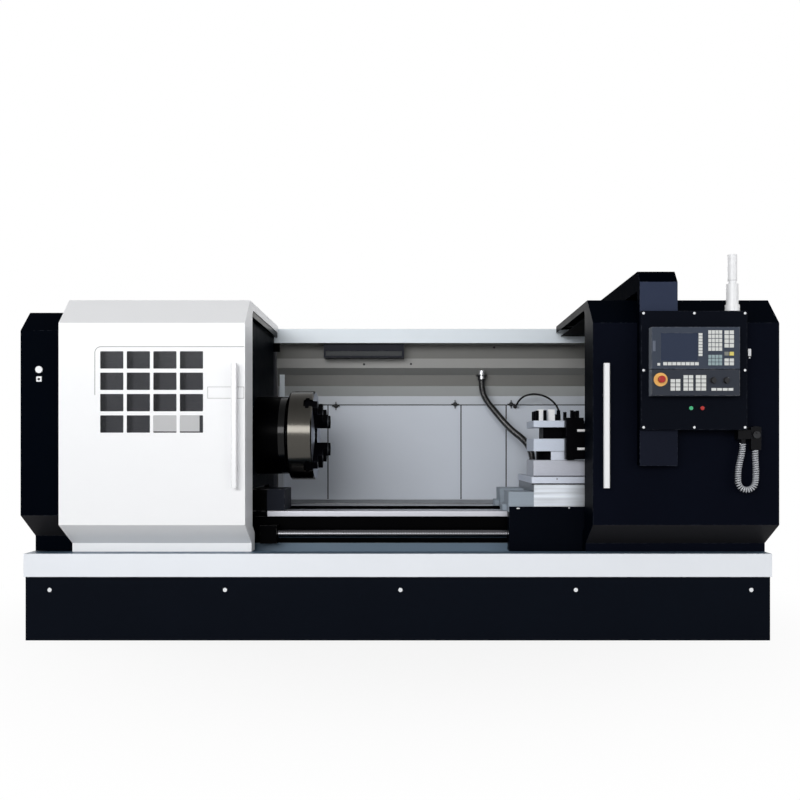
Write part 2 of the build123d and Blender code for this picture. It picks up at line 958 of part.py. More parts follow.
with BuildPart() as left_door:
    folded(door_line, door_sheet, (left_door_start, left_door_end))
    folded(door_line, door_end_frame, (left_door_end - door_gauge, left_door_end))
    folded(door_line, door_flange, (left_door_start, left_door_start + door_gauge))
    with BuildSketch(Plane.XZ.offset(-door_y - door_gauge - overrun)):
        with Locations((pane_mid_x, pane_mid_z)):
            with GridLocations(pane_pitch_x, pane_pitch_z, pane_count, pane_count):
                RectangleRounded(pane_width, pane_height, pane_corner)
    extrude(amount=door_gauge + 2 * overrun, mode=Mode.SUBTRACT)

with BuildPart() as left_window:
    block(
        (pane_mid_x - pane_row / 2 - window_margin, pane_mid_x + pane_row / 2 + window_margin),
        (door_y + door_gauge, door_y + door_gauge + window_gauge),
        (pane_mid_z - pane_field / 2 - window_margin, pane_mid_z + pane_field / 2 + window_margin),
    )

with BuildPart() as right_door:
    folded(door_line, door_sheet, (right_door_start, right_door_end))
    folded(door_line, door_end_frame, (right_door_start, right_door_start + door_gauge))
    folded(door_line, door_flange, (right_door_end - door_gauge, right_door_end))


def door_handle(x):
    """Flat pull bar on two posts, centred on x, in front of a door."""
    top = door_shoulder_z - handle_top_drop
    middle = top - handle_length / 2
    bar_y = door_y - handle_stand - handle_depth
    block(
        (x - handle_width / 2, x + handle_width / 2),
        (bar_y, bar_y + handle_depth),
        (top - handle_length, top),
    )
    for side in (-1, 1):
        post_z = middle + side * handle_length * handle_post_share
        round_y(x, (bar_y + handle_depth, door_y), post_z, handle_post_radius)


with BuildPart() as left_handle:
    door_handle(left_door_end - left_handle_inset)
    chamfer(left_handle.edges().filter_by(Axis.Z).group_by(Axis.Y)[0], handle_edge)

with BuildPart() as right_handle:
    door_handle(right_door_start + right_handle_inset)
    chamfer(right_handle.edges().filter_by(Axis.Z).group_by(Axis.Y)[0], handle_edge)

# Fixed end covers: the same folded section, smaller than the doors that slide over them
cover_foot_y = cover_y + cover_foot_setback
cover_shoulder_z = tray_top + cover_foot_rise + cover_lower_rise + cover_front_rise
cover_roof_z = cover_shoulder_z + cover_upper_rise
cover_line = (
    (cover_foot_y, tray_top),
    (cover_foot_y, tray_top + cover_foot_rise),
    (cover_y, tray_top + cover_foot_rise + cover_lower_rise),
    (cover_y, cover_shoulder_z),
    (cover_y + cover_upper_setback, cover_roof_z),
    (cover_rear_y, cover_roof_z),
)
cover_sheet = [cover_gauge] * (len(cover_line) - 1)
cover_wall = list(cover_line) + [(cover_rear_y, tray_top)]
with BuildPart() as end_cover:
    folded(cover_line, cover_sheet, (-half_length, end_cover_end))
    profile_x(cover_wall, (-half_length, -half_length + cover_gauge))
    profile_x(cover_wall, (end_cover_end - cover_gauge, end_cover_end))
    block(
        (head_end - overrun, end_cover_end + overrun),
        (bed_front_y - guard_gap, bed_rear_y + guard_gap),
        (tray_top - overrun, bed_top + foot_block_height + guard_gap),
        Mode.SUBTRACT,
    )
    round_x(
        (head_end - overrun, end_cover_end + overrun),
        spindle_y,
        spindle_z,
        nose_radius + guard_gap,
        Mode.SUBTRACT,
    )
    block(
        (head_end - overrun, end_cover_end + overrun),
        (splash_y - splash_lean - guard_gap, bed_front_y),
        (tray_top - overrun, bed_top),
        Mode.SUBTRACT,
    )

with BuildPart() as tail_cover:
    folded(cover_line, cover_sheet, (tail_cover_start, half_length))
    profile_x(cover_wall, (half_length - cover_gauge, half_length))

cover_lamp_x = -half_length + cover_lamp_inset
cover_lamp_z = tray_top + cover_lamp_rise
with BuildPart() as cover_fittings:
    round_y(cover_lamp_x, (cover_y - cover_lamp_height, cover_y), cover_lamp_z, cover_lamp_radius)
    key_mid = cover_lamp_z - cover_key_drop
    block(
        (cover_lamp_x - cover_key_width / 2, cover_lamp_x + cover_key_width / 2),
        (cover_y - cover_key_depth, cover_y),
        (key_mid - cover_key_width / 2, key_mid + cover_key_width / 2),
    )

# Rear guard: top beam, stepped inner wall, ledge behind the bed and posts at the back
guard_span = (end_cover_end, half_length - cover_gauge)
inner_wall = (
    (saddle_rear_y + ledge_gap, ledge_z - ledge_lip),
    (saddle_rear_y + ledge_gap, ledge_z),
    (wall_y, ledge_z),
    (wall_y, wall_top),
    (fold_one_y, fold_one_bottom),
    (fold_one_y, fold_one_top),
    (recess_y, recess_bottom),
    (recess_y, beam_top),
)
with BuildPart() as rear_guard:
    folded(inner_wall, [guard_gauge] * (len(inner_wall) - 1), guard_span)
    block(guard_span, (fascia_y, fascia_y + guard_gauge), (beam_top - fascia_height, beam_top))
    block(guard_span, (fascia_y, wall_y + rear_post_depth), (beam_top - guard_gauge, beam_top))
    block(
        guard_span,
        (fascia_y, recess_y),
        (beam_top - fascia_height, beam_top - fascia_height + guard_gauge),
    )
    block(
        (guard_span[1] - guard_gauge, guard_span[1]),
        (fascia_y, wall_y + rear_post_depth),
        (tray_top, beam_top),
    )
    for share in rear_post_shares:
        post_start = guard_span[0] + share * (guard_span[1] - guard_span[0])
        block(
            (post_start, post_start + rear_post_width),
            (wall_y, wall_y + rear_post_depth),
            (tray_top, beam_top),
        )
    block(
        (end_cover_end, end_cover_end + corner_post_width),
        (wall_y - corner_post_depth, wall_y),
        (ledge_z, fold_one_bottom),
    )

guard_length = guard_span[1] - guard_span[0]
panel_seams = [guard_span[0] + share * guard_length for share in panel_seam_shares]
panel_edges = [end_cover_end + corner_post_width] + panel_seams + [guard_span[1] - guard_gauge]
with BuildPart() as rear_panels:
    for start, end in zip(panel_edges, panel_edges[1:]):
        block(
            (start + panel_seam / 2, end - panel_seam / 2),
            (wall_y - panel_gauge, wall_y),
            (ledge_z + panel_bottom_gap, panel_top),
        )

lamp_start = end_cover_end + lamp_inset
lamp_span = (lamp_start, lamp_start + lamp_length)
lamp_top = beam_top - fascia_height
lamp_bottom = lamp_top - lamp_height
with BuildPart() as work_lamp:
    block(lamp_span, (recess_y - lamp_depth, recess_y), (lamp_bottom, lamp_top))
    block(
        (lamp_span[0] + lamp_lens_inset, lamp_span[1] - lamp_lens_inset),
        (recess_y - lamp_depth - overrun, recess_y - lamp_depth + lamp_lens_depth),
        (lamp_bottom + lamp_lens_inset, lamp_bottom + lamp_lens_inset + lamp_lens_height),
        Mode.SUBTRACT,
    )

# Electric cabinet behind the headstock, open at the rear where its door hangs
cabinet_front_y = cover_rear_y + cabinet_front_gap
cabinet_rear_y = cabinet_front_y + cabinet_depth
cabinet_span = (cabinet_start, cabinet_start + cabinet_length)
cabinet_z = (tray_top, tray_top + cabinet_height)
with BuildPart() as electric_cabinet:
    block(cabinet_span, (cabinet_front_y, cabinet_rear_y), cabinet_z)
    block(
        (cabinet_span[0] + cabinet_wall, cabinet_span[1] - cabinet_wall),
        (cabinet_front_y + cabinet_wall, cabinet_rear_y - cabinet_wall),
        (cabinet_z[0] + cabinet_wall, cabinet_z[1] - cabinet_wall),
        Mode.SUBTRACT,
    )
    block(
        (cabinet_span[0] + cabinet_rim, cabinet_span[1] - cabinet_rim),
        (cabinet_rear_y - cabinet_wall - overrun, cabinet_rear_y + overrun),
        (cabinet_z[0] + cabinet_rim, cabinet_z[1] - cabinet_rim),
        Mode.SUBTRACT,
    )
    for leg_x in (cabinet_span[0], cabinet_span[1] - cabinet_leg):
        for leg_y in (cabinet_front_y, cabinet_rear_y - cabinet_leg):
            block(
                (leg_x, leg_x + cabinet_leg),
                (leg_y, leg_y + cabinet_leg),
                (base_height + tray_gauge, cabinet_z[0]),
            )

hinge_x = cabinet_start - cabinet_hinge_radius
hinge_y = cabinet_rear_y + cabinet_hinge_radius
door_plate_y = cabinet_rear_y + slide_gap
with BuildPart() as cabinet_door:
    block(
        (hinge_x, cabinet_span[1]),
        (door_plate_y, door_plate_y + cabinet_door_gauge),
        (cabinet_z[0] + cabinet_wall, cabinet_z[1]),
    )
    cabinet_mid_z = (cabinet_z[0] + cabinet_z[1]) / 2
    for place in range(cabinet_hinge_count):
        knuckle_z = cabinet_mid_z + (place - (cabinet_hinge_count - 1) / 2) * cabinet_hinge_pitch
        round_z(
            hinge_x,
            hinge_y,
            (knuckle_z - cabinet_hinge_length / 2, knuckle_z + cabinet_hinge_length / 2),
            cabinet_hinge_radius - slide_gap,
        )
    for place in range(cabinet_vent_count):
        vent_z = cabinet_z[0] + cabinet_rim + cabinet_hinge_length + place * cabinet_vent_pitch
        vent_mid = (cabinet_span[0] + cabinet_span[1]) / 2
        block(
            (vent_mid - cabinet_vent_length / 2, vent_mid + cabinet_vent_length / 2),
            (door_plate_y - overrun, door_plate_y + cabinet_door_gauge + overrun),
            (vent_z, vent_z + cabinet_vent_height),
            Mode.SUBTRACT,
        )
    round_y(
        cabinet_span[1] - cabinet_rim,
        (door_plate_y + cabinet_door_gauge, door_plate_y + cabinet_door_gauge + cabinet_latch_height),
        cabinet_mid_z,
        cabinet_latch_radius,
    )

# Hanging arm: a duct over the roof that turns down in front of the right door
arm_span = (arm_start, arm_start + arm_width)
arm_front_y = door_y - arm_front
arm_back_y = door_y - arm_back
with BuildPart() as control_arm:
    profile_x(
        (
            (arm_front_y, arm_bottom),
            (arm_back_y, arm_bottom),
            (arm_back_y, arm_duct_z),
            (arm_rear_y, arm_duct_z),
            (arm_rear_y, arm_top),
            (arm_back_y, arm_top),
            (arm_front_y, arm_top - arm_chamfer),
        ),
        arm_span,
    )
    block(arm_span, (arm_rear_y - arm_foot_length / 2, arm_rear_y), (beam_top, arm_duct_z))

box_notch = (arm_span[0] - overrun, arm_span[1])
with BuildPart() as control_box:
    block((arm_start, box_end), (box_y, arm_back_y), (box_bottom, box_top))
    chamfer(control_box.edges().group_by(Axis.Y)[0], box_edge)
    block(
        box_notch,
        (arm_front_y, arm_back_y + overrun),
        (box_bottom - overrun, box_top + overrun),
        Mode.SUBTRACT,
    )
    for x in push_x:
        round_y(x, (box_y - push_bezel_height, box_y), push_z, push_bezel_radius)
        round_y(
            x,
            (box_y - push_bezel_height - overrun, box_y + push_depth),
            push_z,
            push_radius + slide_gap,
            Mode.SUBTRACT,
        )

# Screws that hold the skirt and the front of the control box
box_mid_x = (arm_start + box_end) / 2
box_mid_z = (box_bottom + box_top) / 2
with BuildPart() as cover_screws:
    for place in range(skirt_bolt_count):
        x = -half_length + skirt_bolt_first + place * skirt_bolt_pitch
        round_y(
            x,
            (base_front - skirt_bolt_head, base_front),
            base_height - skirt_bolt_drop,
            skirt_bolt_radius,
        )
    for column in (-1, 0, 1):
        for row in (-1, 0, 1):
            x = box_mid_x + column * (box_width / 2 - box_screw_inset)
            z = box_mid_z + row * (box_height / 2 - box_screw_inset)
            if row != 0 or column != 0:
                round_y(x, (box_y - box_screw_head, box_y), z, box_screw_radius)

# Operator panel: display unit above, machine keys below
upper_z = panel_z + panel_lower_height + panel_split
panel_span = (panel_x, panel_x + panel_width)


def upper_point(across, down):
    """Place on the display unit from shares measured from its top left corner."""
    return panel_x + across * panel_width, upper_z + panel_upper_height * (1 - down)


def lower_point(across, down):
    """Place on the key unit from shares measured from its top left corner."""
    return panel_x + across * panel_width, panel_z + panel_lower_height * (1 - down)


stop_x, stop_z = lower_point(*stop_share)
knob_places = [lower_point(*share) for share in knob_shares]
screen_left, screen_top = upper_point(screen_shares[0], screen_shares[2])
screen_right, screen_bottom = upper_point(screen_shares[1], screen_shares[3])
with BuildPart() as operator_panels:
    block(panel_span, (panel_y, box_y), (panel_z, panel_z + panel_lower_height))
    block(panel_span, (panel_y, box_y), (upper_z, upper_z + panel_upper_height))
    chamfer(operator_panels.faces().filter_by(Axis.Y).group_by(Axis.Y)[0].edges(), panel_edge)
    block(
        (screen_left, screen_right),
        (panel_y - overrun, panel_y + screen_sink),
        (screen_bottom, screen_top),
        Mode.SUBTRACT,
    )
    round_y(stop_x, (panel_y - stop_collar_height, panel_y), stop_z, stop_collar_radius)
    round_y(
        stop_x,
        (panel_y - stop_collar_height - overrun, panel_y + stop_stroke + stand_off),
        stop_z,
        stop_stem_radius + slide_gap,
        Mode.SUBTRACT,
    )

with BuildPart() as screen:
    block(
        (screen_left, screen_right),
        (panel_y + screen_sink - screen_gauge, panel_y + screen_sink),
        (screen_bottom, screen_top),
    )


def key_field(corner, group):
    """Rows of keys that fill one field of a panel unit."""
    left, right, top, bottom, columns, rows = group
    x0, z1 = corner(left, top)
    x1, z0 = corner(right, bottom)
    wide, high = (x1 - x0) / columns, (z1 - z0) / rows
    with BuildSketch(Plane.XZ.offset(-panel_y)) as keys:
        with Locations(((x0 + x1) / 2, (z0 + z1) / 2)):
            with GridLocations(wide, high, columns, rows):
                Rectangle(wide * (1 - key_gap_share), high * (1 - key_gap_share))
    extrude(keys.sketch, amount=key_height)


with BuildPart() as panel_keys:
    for group in upper_key_shares:
        key_field(upper_point, group)
    for group in lower_key_shares:
        key_field(lower_point, group)

# Emergency stop, push buttons and override knobs
with BuildPart() as estop_knob:
    stop_face = panel_y - stop_collar_height
    round_y(
        stop_x,
        (stop_face - stop_stroke - stop_height, stop_face - stop_stroke - stand_off),
        stop_z,
        stop_radius,
    )
    fillet(estop_knob.edges().group_by(Axis.Y)[0], stop_stroke)
    round_y(stop_x, (stop_face - stop_stroke - stop_height / 2, panel_y), stop_z, stop_stem_radius)

push_buttons = []
for x in push_x:
    with BuildPart() as push:
        push_face = box_y - push_bezel_height - push_stroke - stand_off
        round_y(x, (push_face, push_face + push_height), push_z, push_radius)
    push_buttons.append(push)

override_knobs = []
for x, z in knob_places:
    with BuildPart() as knob:
        round_y(x, (panel_y - knob_skirt - slide_gap, panel_y - slide_gap), z, knob_radius)
        round_y(x, (panel_y - knob_height, panel_y - knob_skirt), z, knob_radius - knob_skirt)
        block(
            (x - knob_grip / 2, x + knob_grip / 2),
            (panel_y - knob_height, panel_y - knob_skirt),
            (z - knob_radius, z + knob_radius),
        )
    override_knobs.append(knob)

# Signal lamp on top of the control box
signal_y = (box_y + arm_back_y) / 2
signal_levels = (
    (signal_foot_radius, signal_foot),
    (signal_tube_radius, signal_tube),
    (signal_neck_radius, signal_neck),
    (signal_top_radius, signal_top),
)
with BuildPart() as signal_lamp:
    level = box_top
    for radius, height in signal_levels:
        round_z(signal_x, signal_y, (level, level + height), radius)
        level += height

# Hand pendant on its hook, the outlet under the control box and the curly cord between them
outlet_bottom = box_bottom - outlet_height
outlet_mid_x = outlet_start + outlet_width / 2
pendant_back_y = pendant_y + pendant_depth / 2
pendant_top = pendant_bottom + pendant_height
with BuildPart() as pendant_fittings:
    block(
        (outlet_start, outlet_start + outlet_width),
        (pendant_y - outlet_depth / 2, pendant_y + outlet_depth / 2),
        (outlet_bottom, box_bottom),
    )
    round_z(outlet_mid_x, pendant_y, (outlet_bottom - outlet_gland, outlet_bottom), outlet_gland_radius)
    block(
        (box_end, pendant_x + hook_width / 2),
        (pendant_back_y, pendant_back_y + hook_gauge),
        (pendant_top - pendant_height / 2, pendant_top),
    )
    block(
        (pendant_x - hook_width / 2, pendant_x + hook_width / 2),
        (pendant_y - pendant_depth / 2, pendant_back_y + hook_gauge),
        (pendant_top, pendant_top + hook_gauge),
    )

with BuildPart() as pendant:
    block(
        (pendant_x - pendant_width / 2, pendant_x + pendant_width / 2),
        (pendant_y - pendant_depth / 2, pendant_back_y),
        (pendant_bottom, pendant_top),
    )
    fillet(pendant.edges().filter_by(Axis.Y), pendant_edge)

pendant_front_y = pendant_y - pendant_depth / 2
dial_z = pendant_top - dial_drop
with BuildPart() as pendant_dial:
    round_y(pendant_x, (pendant_front_y - dial_height, pendant_front_y - slide_gap), dial_z, dial_radius)
    round_y(
        pendant_x,
        (pendant_front_y - dial_height - dial_knob_height, pendant_front_y - dial_height),
        dial_z + dial_radius / 2,
        dial_knob_radius,
    )

with BuildPart() as pendant_cord:
    cord([(x, pendant_y, z) for x, z in curl_route], curl_radius)

# Saddle: two wings on the ways, a raised middle with the screw channel and the terminal box
saddle_bottom = bed_top + slide_gap
saddle_span = (saddle_start, saddle_end)
saddle_mid = (saddle_mid_start, saddle_mid_end)
channel_mid = (saddle_mid_start + saddle_mid_end) / 2
servo_top = saddle_mid_top - cross_servo_drop
terminal_top = servo_top + terminal_height
with BuildPart() as saddle:
    block(saddle_span, (saddle_front_y, saddle_front_y + saddle_wing_depth), (saddle_bottom, saddle_wing_top))
    block(saddle_span, (saddle_rear_y - saddle_wing_depth, saddle_rear_y), (saddle_bottom, saddle_wing_top))
    block(saddle_mid, (saddle_front_y, saddle_rear_y), (saddle_bottom, saddle_mid_top))
    chamfer(saddle.edges().filter_by(Axis.Z).group_by(Axis.Y)[0], saddle_edge)
    block(
        (channel_mid - cross_channel / 2, channel_mid + cross_channel / 2),
        (saddle_front_y + cross_channel, saddle_rear_y - cross_channel / 2),
        (saddle_mid_top - cross_channel_depth, saddle_mid_top + overrun),
        Mode.SUBTRACT,
    )
    block(
        (channel_mid - cross_servo_size / 2, channel_mid + cross_servo_size / 2),
        (saddle_rear_y, saddle_rear_y + cross_servo_length),
        (servo_top - cross_servo_size, servo_top),
    )
    block(
        (channel_mid - cross_servo_size / 2, channel_mid + cross_servo_size / 2),
        (saddle_rear_y + cross_servo_length - terminal_depth, saddle_rear_y + cross_servo_length),
        (servo_top, terminal_top),
    )
    for line, radius in ((hose_route, line_gland_radius), (cable_route, cable_gland_radius)):
        x, y, z = line[-1]
        round_z(x, y, (terminal_top, z - line_gland_gap), radius)
    for start in (saddle_start - wiper_length, saddle_end):
        for way in (bed_front_y, bed_rear_y - way_width):
            block(
                (start, start + wiper_length),
                (way, way + way_width),
                (saddle_bottom, saddle_bottom + wiper_height),
            )

# Apron: a hollow box with the ball nut on the lengthwise screw
apron_back_y = bed_front_y - apron_back_gap
apron_end = apron_start + apron_length
apron_mid = (apron_start + apron_end) / 2
with BuildPart() as apron:
    block((apron_start, apron_end), (apron_front_y, apron_back_y), (apron_bottom, apron_top))
    block(
        (apron_start + apron_wall, apron_end - apron_wall),
        (apron_front_y + apron_wall, apron_back_y + overrun),
        (apron_bottom + apron_wall, apron_top - apron_wall),
        Mode.SUBTRACT,
    )
    block(
        (apron_start - overrun, apron_end + overrun),
        (saddle_front_y, apron_back_y + overrun),
        (saddle_bottom, apron_top + overrun),
        Mode.SUBTRACT,
    )
    block(
        (apron_mid - nut_length / 2, apron_mid + nut_length / 2),
        (apron_front_y + apron_wall, screw_y + nut_width / 2 - apron_back_gap),
        (screw_z - nut_width / 2, screw_z + nut_width / 2),
    )
    round_x(
        (apron_start - overrun, apron_end + overrun),
        screw_y,
        screw_z,
        screw_radius + slide_gap,
        Mode.SUBTRACT,
    )

# Lengthwise ball screw, its bearing brackets on the bed and its servo motor
with BuildPart() as z_screw:
    round_x((screw_start, screw_end), screw_y, screw_z, screw_radius)
    round_x(
        (screw_end - bracket_length - screw_collar, screw_end - bracket_length - slide_gap),
        screw_y,
        screw_z,
        screw_collar_radius,
    )

with BuildPart() as screw_brackets:
    for start in (screw_start, screw_end - bracket_length):
        block(
            (start, start + bracket_length),
            (screw_y - bracket_height / 2, flank_front),
            (screw_z - bracket_height / 2, screw_z + bracket_height / 2),
        )
        round_x(
            (start - overrun, start + bracket_length + overrun),
            screw_y,
            screw_z,
            screw_radius + turn_gap,
            Mode.SUBTRACT,
        )

servo_start = screw_end + slide_gap
with BuildPart() as z_servo:
    block(
        (servo_start, servo_start + servo_length),
        (screw_y - servo_size / 2, screw_y + servo_size / 2),
        (screw_z - servo_size / 2, screw_z + servo_size / 2),
    )
    chamfer(z_servo.edges().filter_by(Axis.X), servo_edge)

# Cross slide with the nut that runs in the saddle channel
with BuildPart() as cross_slide:
    block((cross_start, cross_start + cross_width), (cross_front_y, cross_rear_y), (cross_bottom, cross_top))
    chamfer(cross_slide.edges().filter_by(Axis.Z), saddle_edge)
    block(
        (channel_mid - cross_nut_width / 2, channel_mid + cross_nut_width / 2),
        (cross_nut_y, cross_nut_y + cross_nut_length),
        (cross_screw_z - cross_nut_width / 2 + saddle_edge, cross_bottom),
    )
    round_y(
        channel_mid,
        (cross_nut_y - overrun, cross_nut_y + cross_nut_length + overrun),
        cross_screw_z,
        cross_screw_radius + slide_gap,
        Mode.SUBTRACT,
    )

with BuildPart() as x_screw:
    round_y(
        channel_mid,
        (saddle_front_y + cross_channel + stand_off, saddle_rear_y - cross_channel / 2 - stand_off),
        cross_screw_z,
        cross_screw_radius,
    )

# Tool post: fixed base on the cross slide, turning head with an open slot all round
post_half = post_size / 2
with BuildPart() as post_base:
    block(
        (post_x - post_half, post_x + post_half),
        (post_y - post_half, post_y + post_half),
        (cross_top, post_base_top),
    )
    chamfer(post_base.edges().filter_by(Axis.Z), post_edge)
    round_z(post_x, post_y, (post_base_top, post_bottom - slide_gap), post_neck_radius)
    block(
        (post_x - post_cover_width / 2, post_x + post_cover_width / 2),
        (post_y - post_neck_radius - post_cover_depth, post_y),
        (post_base_top, post_bottom - slide_gap),
    )

with BuildPart() as tool_post:
    for z_span in ((post_bottom, slot_floor), (slot_roof, post_top)):
        block((post_x - post_half, post_x + post_half), (post_y - post_half, post_y + post_half), z_span)
    chamfer(tool_post.edges().filter_by(Axis.Z), post_edge)
    block(
        (post_x - post_core / 2, post_x + post_core / 2),
        (post_y - post_core / 2, post_y + post_core / 2),
        (slot_floor, slot_roof),
    )
    for angle in range(0, 360, 90):
        with Locations(Location((post_x, post_y, 0), (0, 0, angle))):
            with Locations((0, -post_half + clamp_inset, (slot_roof + post_top) / 2)):
                with GridLocations(clamp_pitch, 0, clamp_count, 1):
                    Cylinder(clamp_radius + slide_gap, post_upper + overrun, mode=Mode.SUBTRACT)

post_front_y = post_y - post_half
holder_end = post_x + post_half
holder_start = holder_end - holder_length
holder_foot = post_base_top + holder_foot_gap
holder_depth_span = (post_front_y - holder_proud, post_front_y)
holder_head = post_top + holder_rise
with BuildPart() as tooling:
    for angle in range(0, 360, 90):
        with Locations(Location((post_x, post_y, 0), (0, 0, angle))):
            with Locations((0, -post_half + clamp_inset, post_top + clamp_rise / 2 - post_upper / 2)):
                with GridLocations(clamp_pitch, 0, clamp_count, 1):
                    Cylinder(clamp_radius, clamp_rise + post_upper)
    block(
        (holder_start, holder_end),
        (post_front_y, post_front_y + holder_depth),
        (slot_floor, slot_roof - post_edge),
    )
    block((holder_start, holder_end - holder_step), holder_depth_span, (holder_foot, holder_head))
    block(
        (holder_end - holder_step, holder_end + holder_step),
        holder_depth_span,
        (holder_foot + holder_step, post_top - holder_step),
    )
    block(
        (holder_end - holder_step, holder_end + holder_reach),
        holder_depth_span,
        (holder_foot, holder_foot + 2 * holder_step),
    )
    for share in boring_bar_shares:
        round_x(
            (holder_end + holder_reach - boring_bar_length, holder_end + holder_reach),
            post_front_y - holder_proud,
            holder_foot + share * (holder_head - holder_foot),
            boring_bar_radius,
        )

# Conduit and cable between the rear guard and the carriage
hose_top = hose_route[0]
with BuildPart() as hose_fitting:
    block(
        (hose_top[0] - hose_bracket / 2, hose_top[0] + hose_bracket / 2),
        (hose_top[1] - hose_bracket / 2, fold_one_y),
        (hose_top[2] + hose_nut, hose_top[2] + hose_nut + hose_bracket_gauge),
    )
    round_z(hose_top[0], hose_top[1], (hose_top[2], hose_top[2] + hose_nut), hose_nut_radius)
    round_y(
        cable_route[0][0],
        (wall_y - panel_gauge - cable_gland, wall_y - panel_gauge),
        cable_route[0][2],
        cable_gland_radius,
    )

with BuildPart() as carriage_hose:
    cord(hose_route, hose_radius)

with BuildPart() as tool_cable:
    cord(cable_route, cable_radius)

# Tailstock with its quill, live centre and handwheel
tail_base = (tail_base_start, tail_base_start + tail_base_length)
barrel_span = (barrel_start, barrel_start + barrel_length)
tail_bottom = bed_top + slide_gap
with BuildPart() as tailstock:
    block(tail_base, (bed_front_y, bed_rear_y), (tail_bottom, tail_bottom + tail_base_height))
    block(
        tail_base,
        (spindle_y - tail_neck_width / 2, spindle_y + tail_neck_width / 2),
        (tail_bottom + tail_base_height, spindle_z),
    )
    round_x(barrel_span, spindle_y, spindle_z, barrel_radius)
    round_x(
        (barrel_span[0] - overrun, barrel_span[1] - base_plate),
        spindle_y,
        spindle_z,
        quill_radius + turn_gap,
        Mode.SUBTRACT,
    )
    round_x(
        (barrel_span[0] - overrun, barrel_span[1] + overrun),
        spindle_y,
        spindle_z,
        wheel_stub_radius + turn_gap,
        Mode.SUBTRACT,
    )

with BuildPart() as quill:
    round_x((quill_start, barrel_span[1] - base_plate - stand_off), spindle_y, spindle_z, quill_radius)
    round_x(
        (quill_start - overrun, quill_start + centre_shank),
        spindle_y,
        spindle_z,
        centre_shank_radius + turn_gap,
        Mode.SUBTRACT,
    )

with BuildPart() as live_centre:
    with BuildSketch(Plane.XZ.offset(-spindle_y)):
        with BuildLine():
            Polyline(
                (quill_start - centre_body - centre_tip, spindle_z),
                (quill_start - centre_body, spindle_z + centre_radius),
                (quill_start - slide_gap, spindle_z + centre_radius),
                (quill_start - slide_gap, spindle_z + centre_shank_radius),
                (quill_start + centre_shank - stand_off, spindle_z + centre_shank_radius),
                (quill_start + centre_shank - stand_off, spindle_z),
                close=True,
            )
        make_face()
    revolve(axis=Axis((0, spindle_y, spindle_z), (1, 0, 0)))

wheel_x = barrel_span[1] + wheel_hub / 2 + stand_off
with BuildPart() as tail_handwheel:
    round_x(
        (barrel_span[1] - base_plate + stand_off, wheel_x + wheel_hub / 2),
        spindle_y,
        spindle_z,
        wheel_stub_radius,
    )
    round_x((wheel_x - wheel_hub / 2, wheel_x + wheel_hub / 2), spindle_y, spindle_z, wheel_hub_radius)
    with Locations(Location((wheel_x, spindle_y, spindle_z), (0, 90, 0))):
        Torus(wheel_radius - wheel_rim_radius, wheel_rim_radius)
    for spoke in range(wheel_spokes):
        with Locations(Location((wheel_x, spindle_y, spindle_z), (spoke * 360 / wheel_spokes, 0, 0))):
            with Locations((0, 0, (wheel_radius - wheel_rim_radius) / 2)):
                Cylinder(wheel_spoke_radius, wheel_radius - wheel_rim_radius)

pieces = {
    "base_stand": base_stand,
    "chip_tray": chip_tray,
    "bed": bed,
    "headstock": headstock,
    "spindle_bearings": spindle_bearings,
    "end_cover": end_cover,
    "cover_fittings": cover_fittings,
    "tail_cover": tail_cover,
    "rear_guard": rear_guard,
    "rear_panels": rear_panels,
    "work_lamp": work_lamp,
    "main_motor": main_motor,
    "drive_belt": drive_belt,
    "z_servo": z_servo,
    "screw_brackets": screw_brackets,
    "electric_cabinet": electric_cabinet,
    "control_arm": control_arm,
    "control_box": control_box,
    "cover_screws": cover_screws,
    "operator_panels": operator_panels,
    "screen": screen,
    "panel_keys": panel_keys,
    "signal_lamp": signal_lamp,
    "hose_fitting": hose_fitting,
    "carriage_hose": carriage_hose,
    "tool_cable": tool_cable,
    "pendant_fittings": pendant_fittings,
    "pendant": pendant,
    "pendant_cord": pendant_cord,
    "left_door": left_door,
    "left_window": left_window,
    "left_handle": left_handle,
    "right_door": right_door,
    "right_handle": right_handle,
    "cabinet_door": cabinet_door,
    "spindle": spindle,
    "chuck_body": chuck_body,
    "motor_pulley": motor_pulley,
    "saddle": saddle,
    "apron": apron,
    "z_screw": z_screw,
    "cross_slide": cross_slide,
    "post_base": post_base,
    "x_screw": x_screw,
    "tool_post": tool_post,
    "tooling": tooling,
    "tailstock": tailstock,
    "quill": quill,
    "live_centre": live_centre,
    "tail_handwheel": tail_handwheel,
    "estop_knob": estop_knob,
    "green_button": push_buttons[0],
    "red_button": push_buttons[1],
    "feed_knob": override_knobs[0],
    "speed_knob": override_knobs[1],
    "pendant_dial": pendant_dial,
}
for place, jaw in enumerate(chuck_jaws):
    pieces[f"chuck_jaw_{place + 1}"] = jaw
for name, piece in pieces.items():
    piece.part.label = name
    export_step(piece.part, f"parts/{name}.step")
    print(name, len(piece.part.solids()))
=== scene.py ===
"""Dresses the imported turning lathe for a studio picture."""

import json
import logging
import math
from collections.abc import Callable, Mapping, Sequence
from dataclasses import dataclass, replace
from enum import Enum
from typing import Any

import bmesh
import bpy
from mathutils import Matrix, Vector


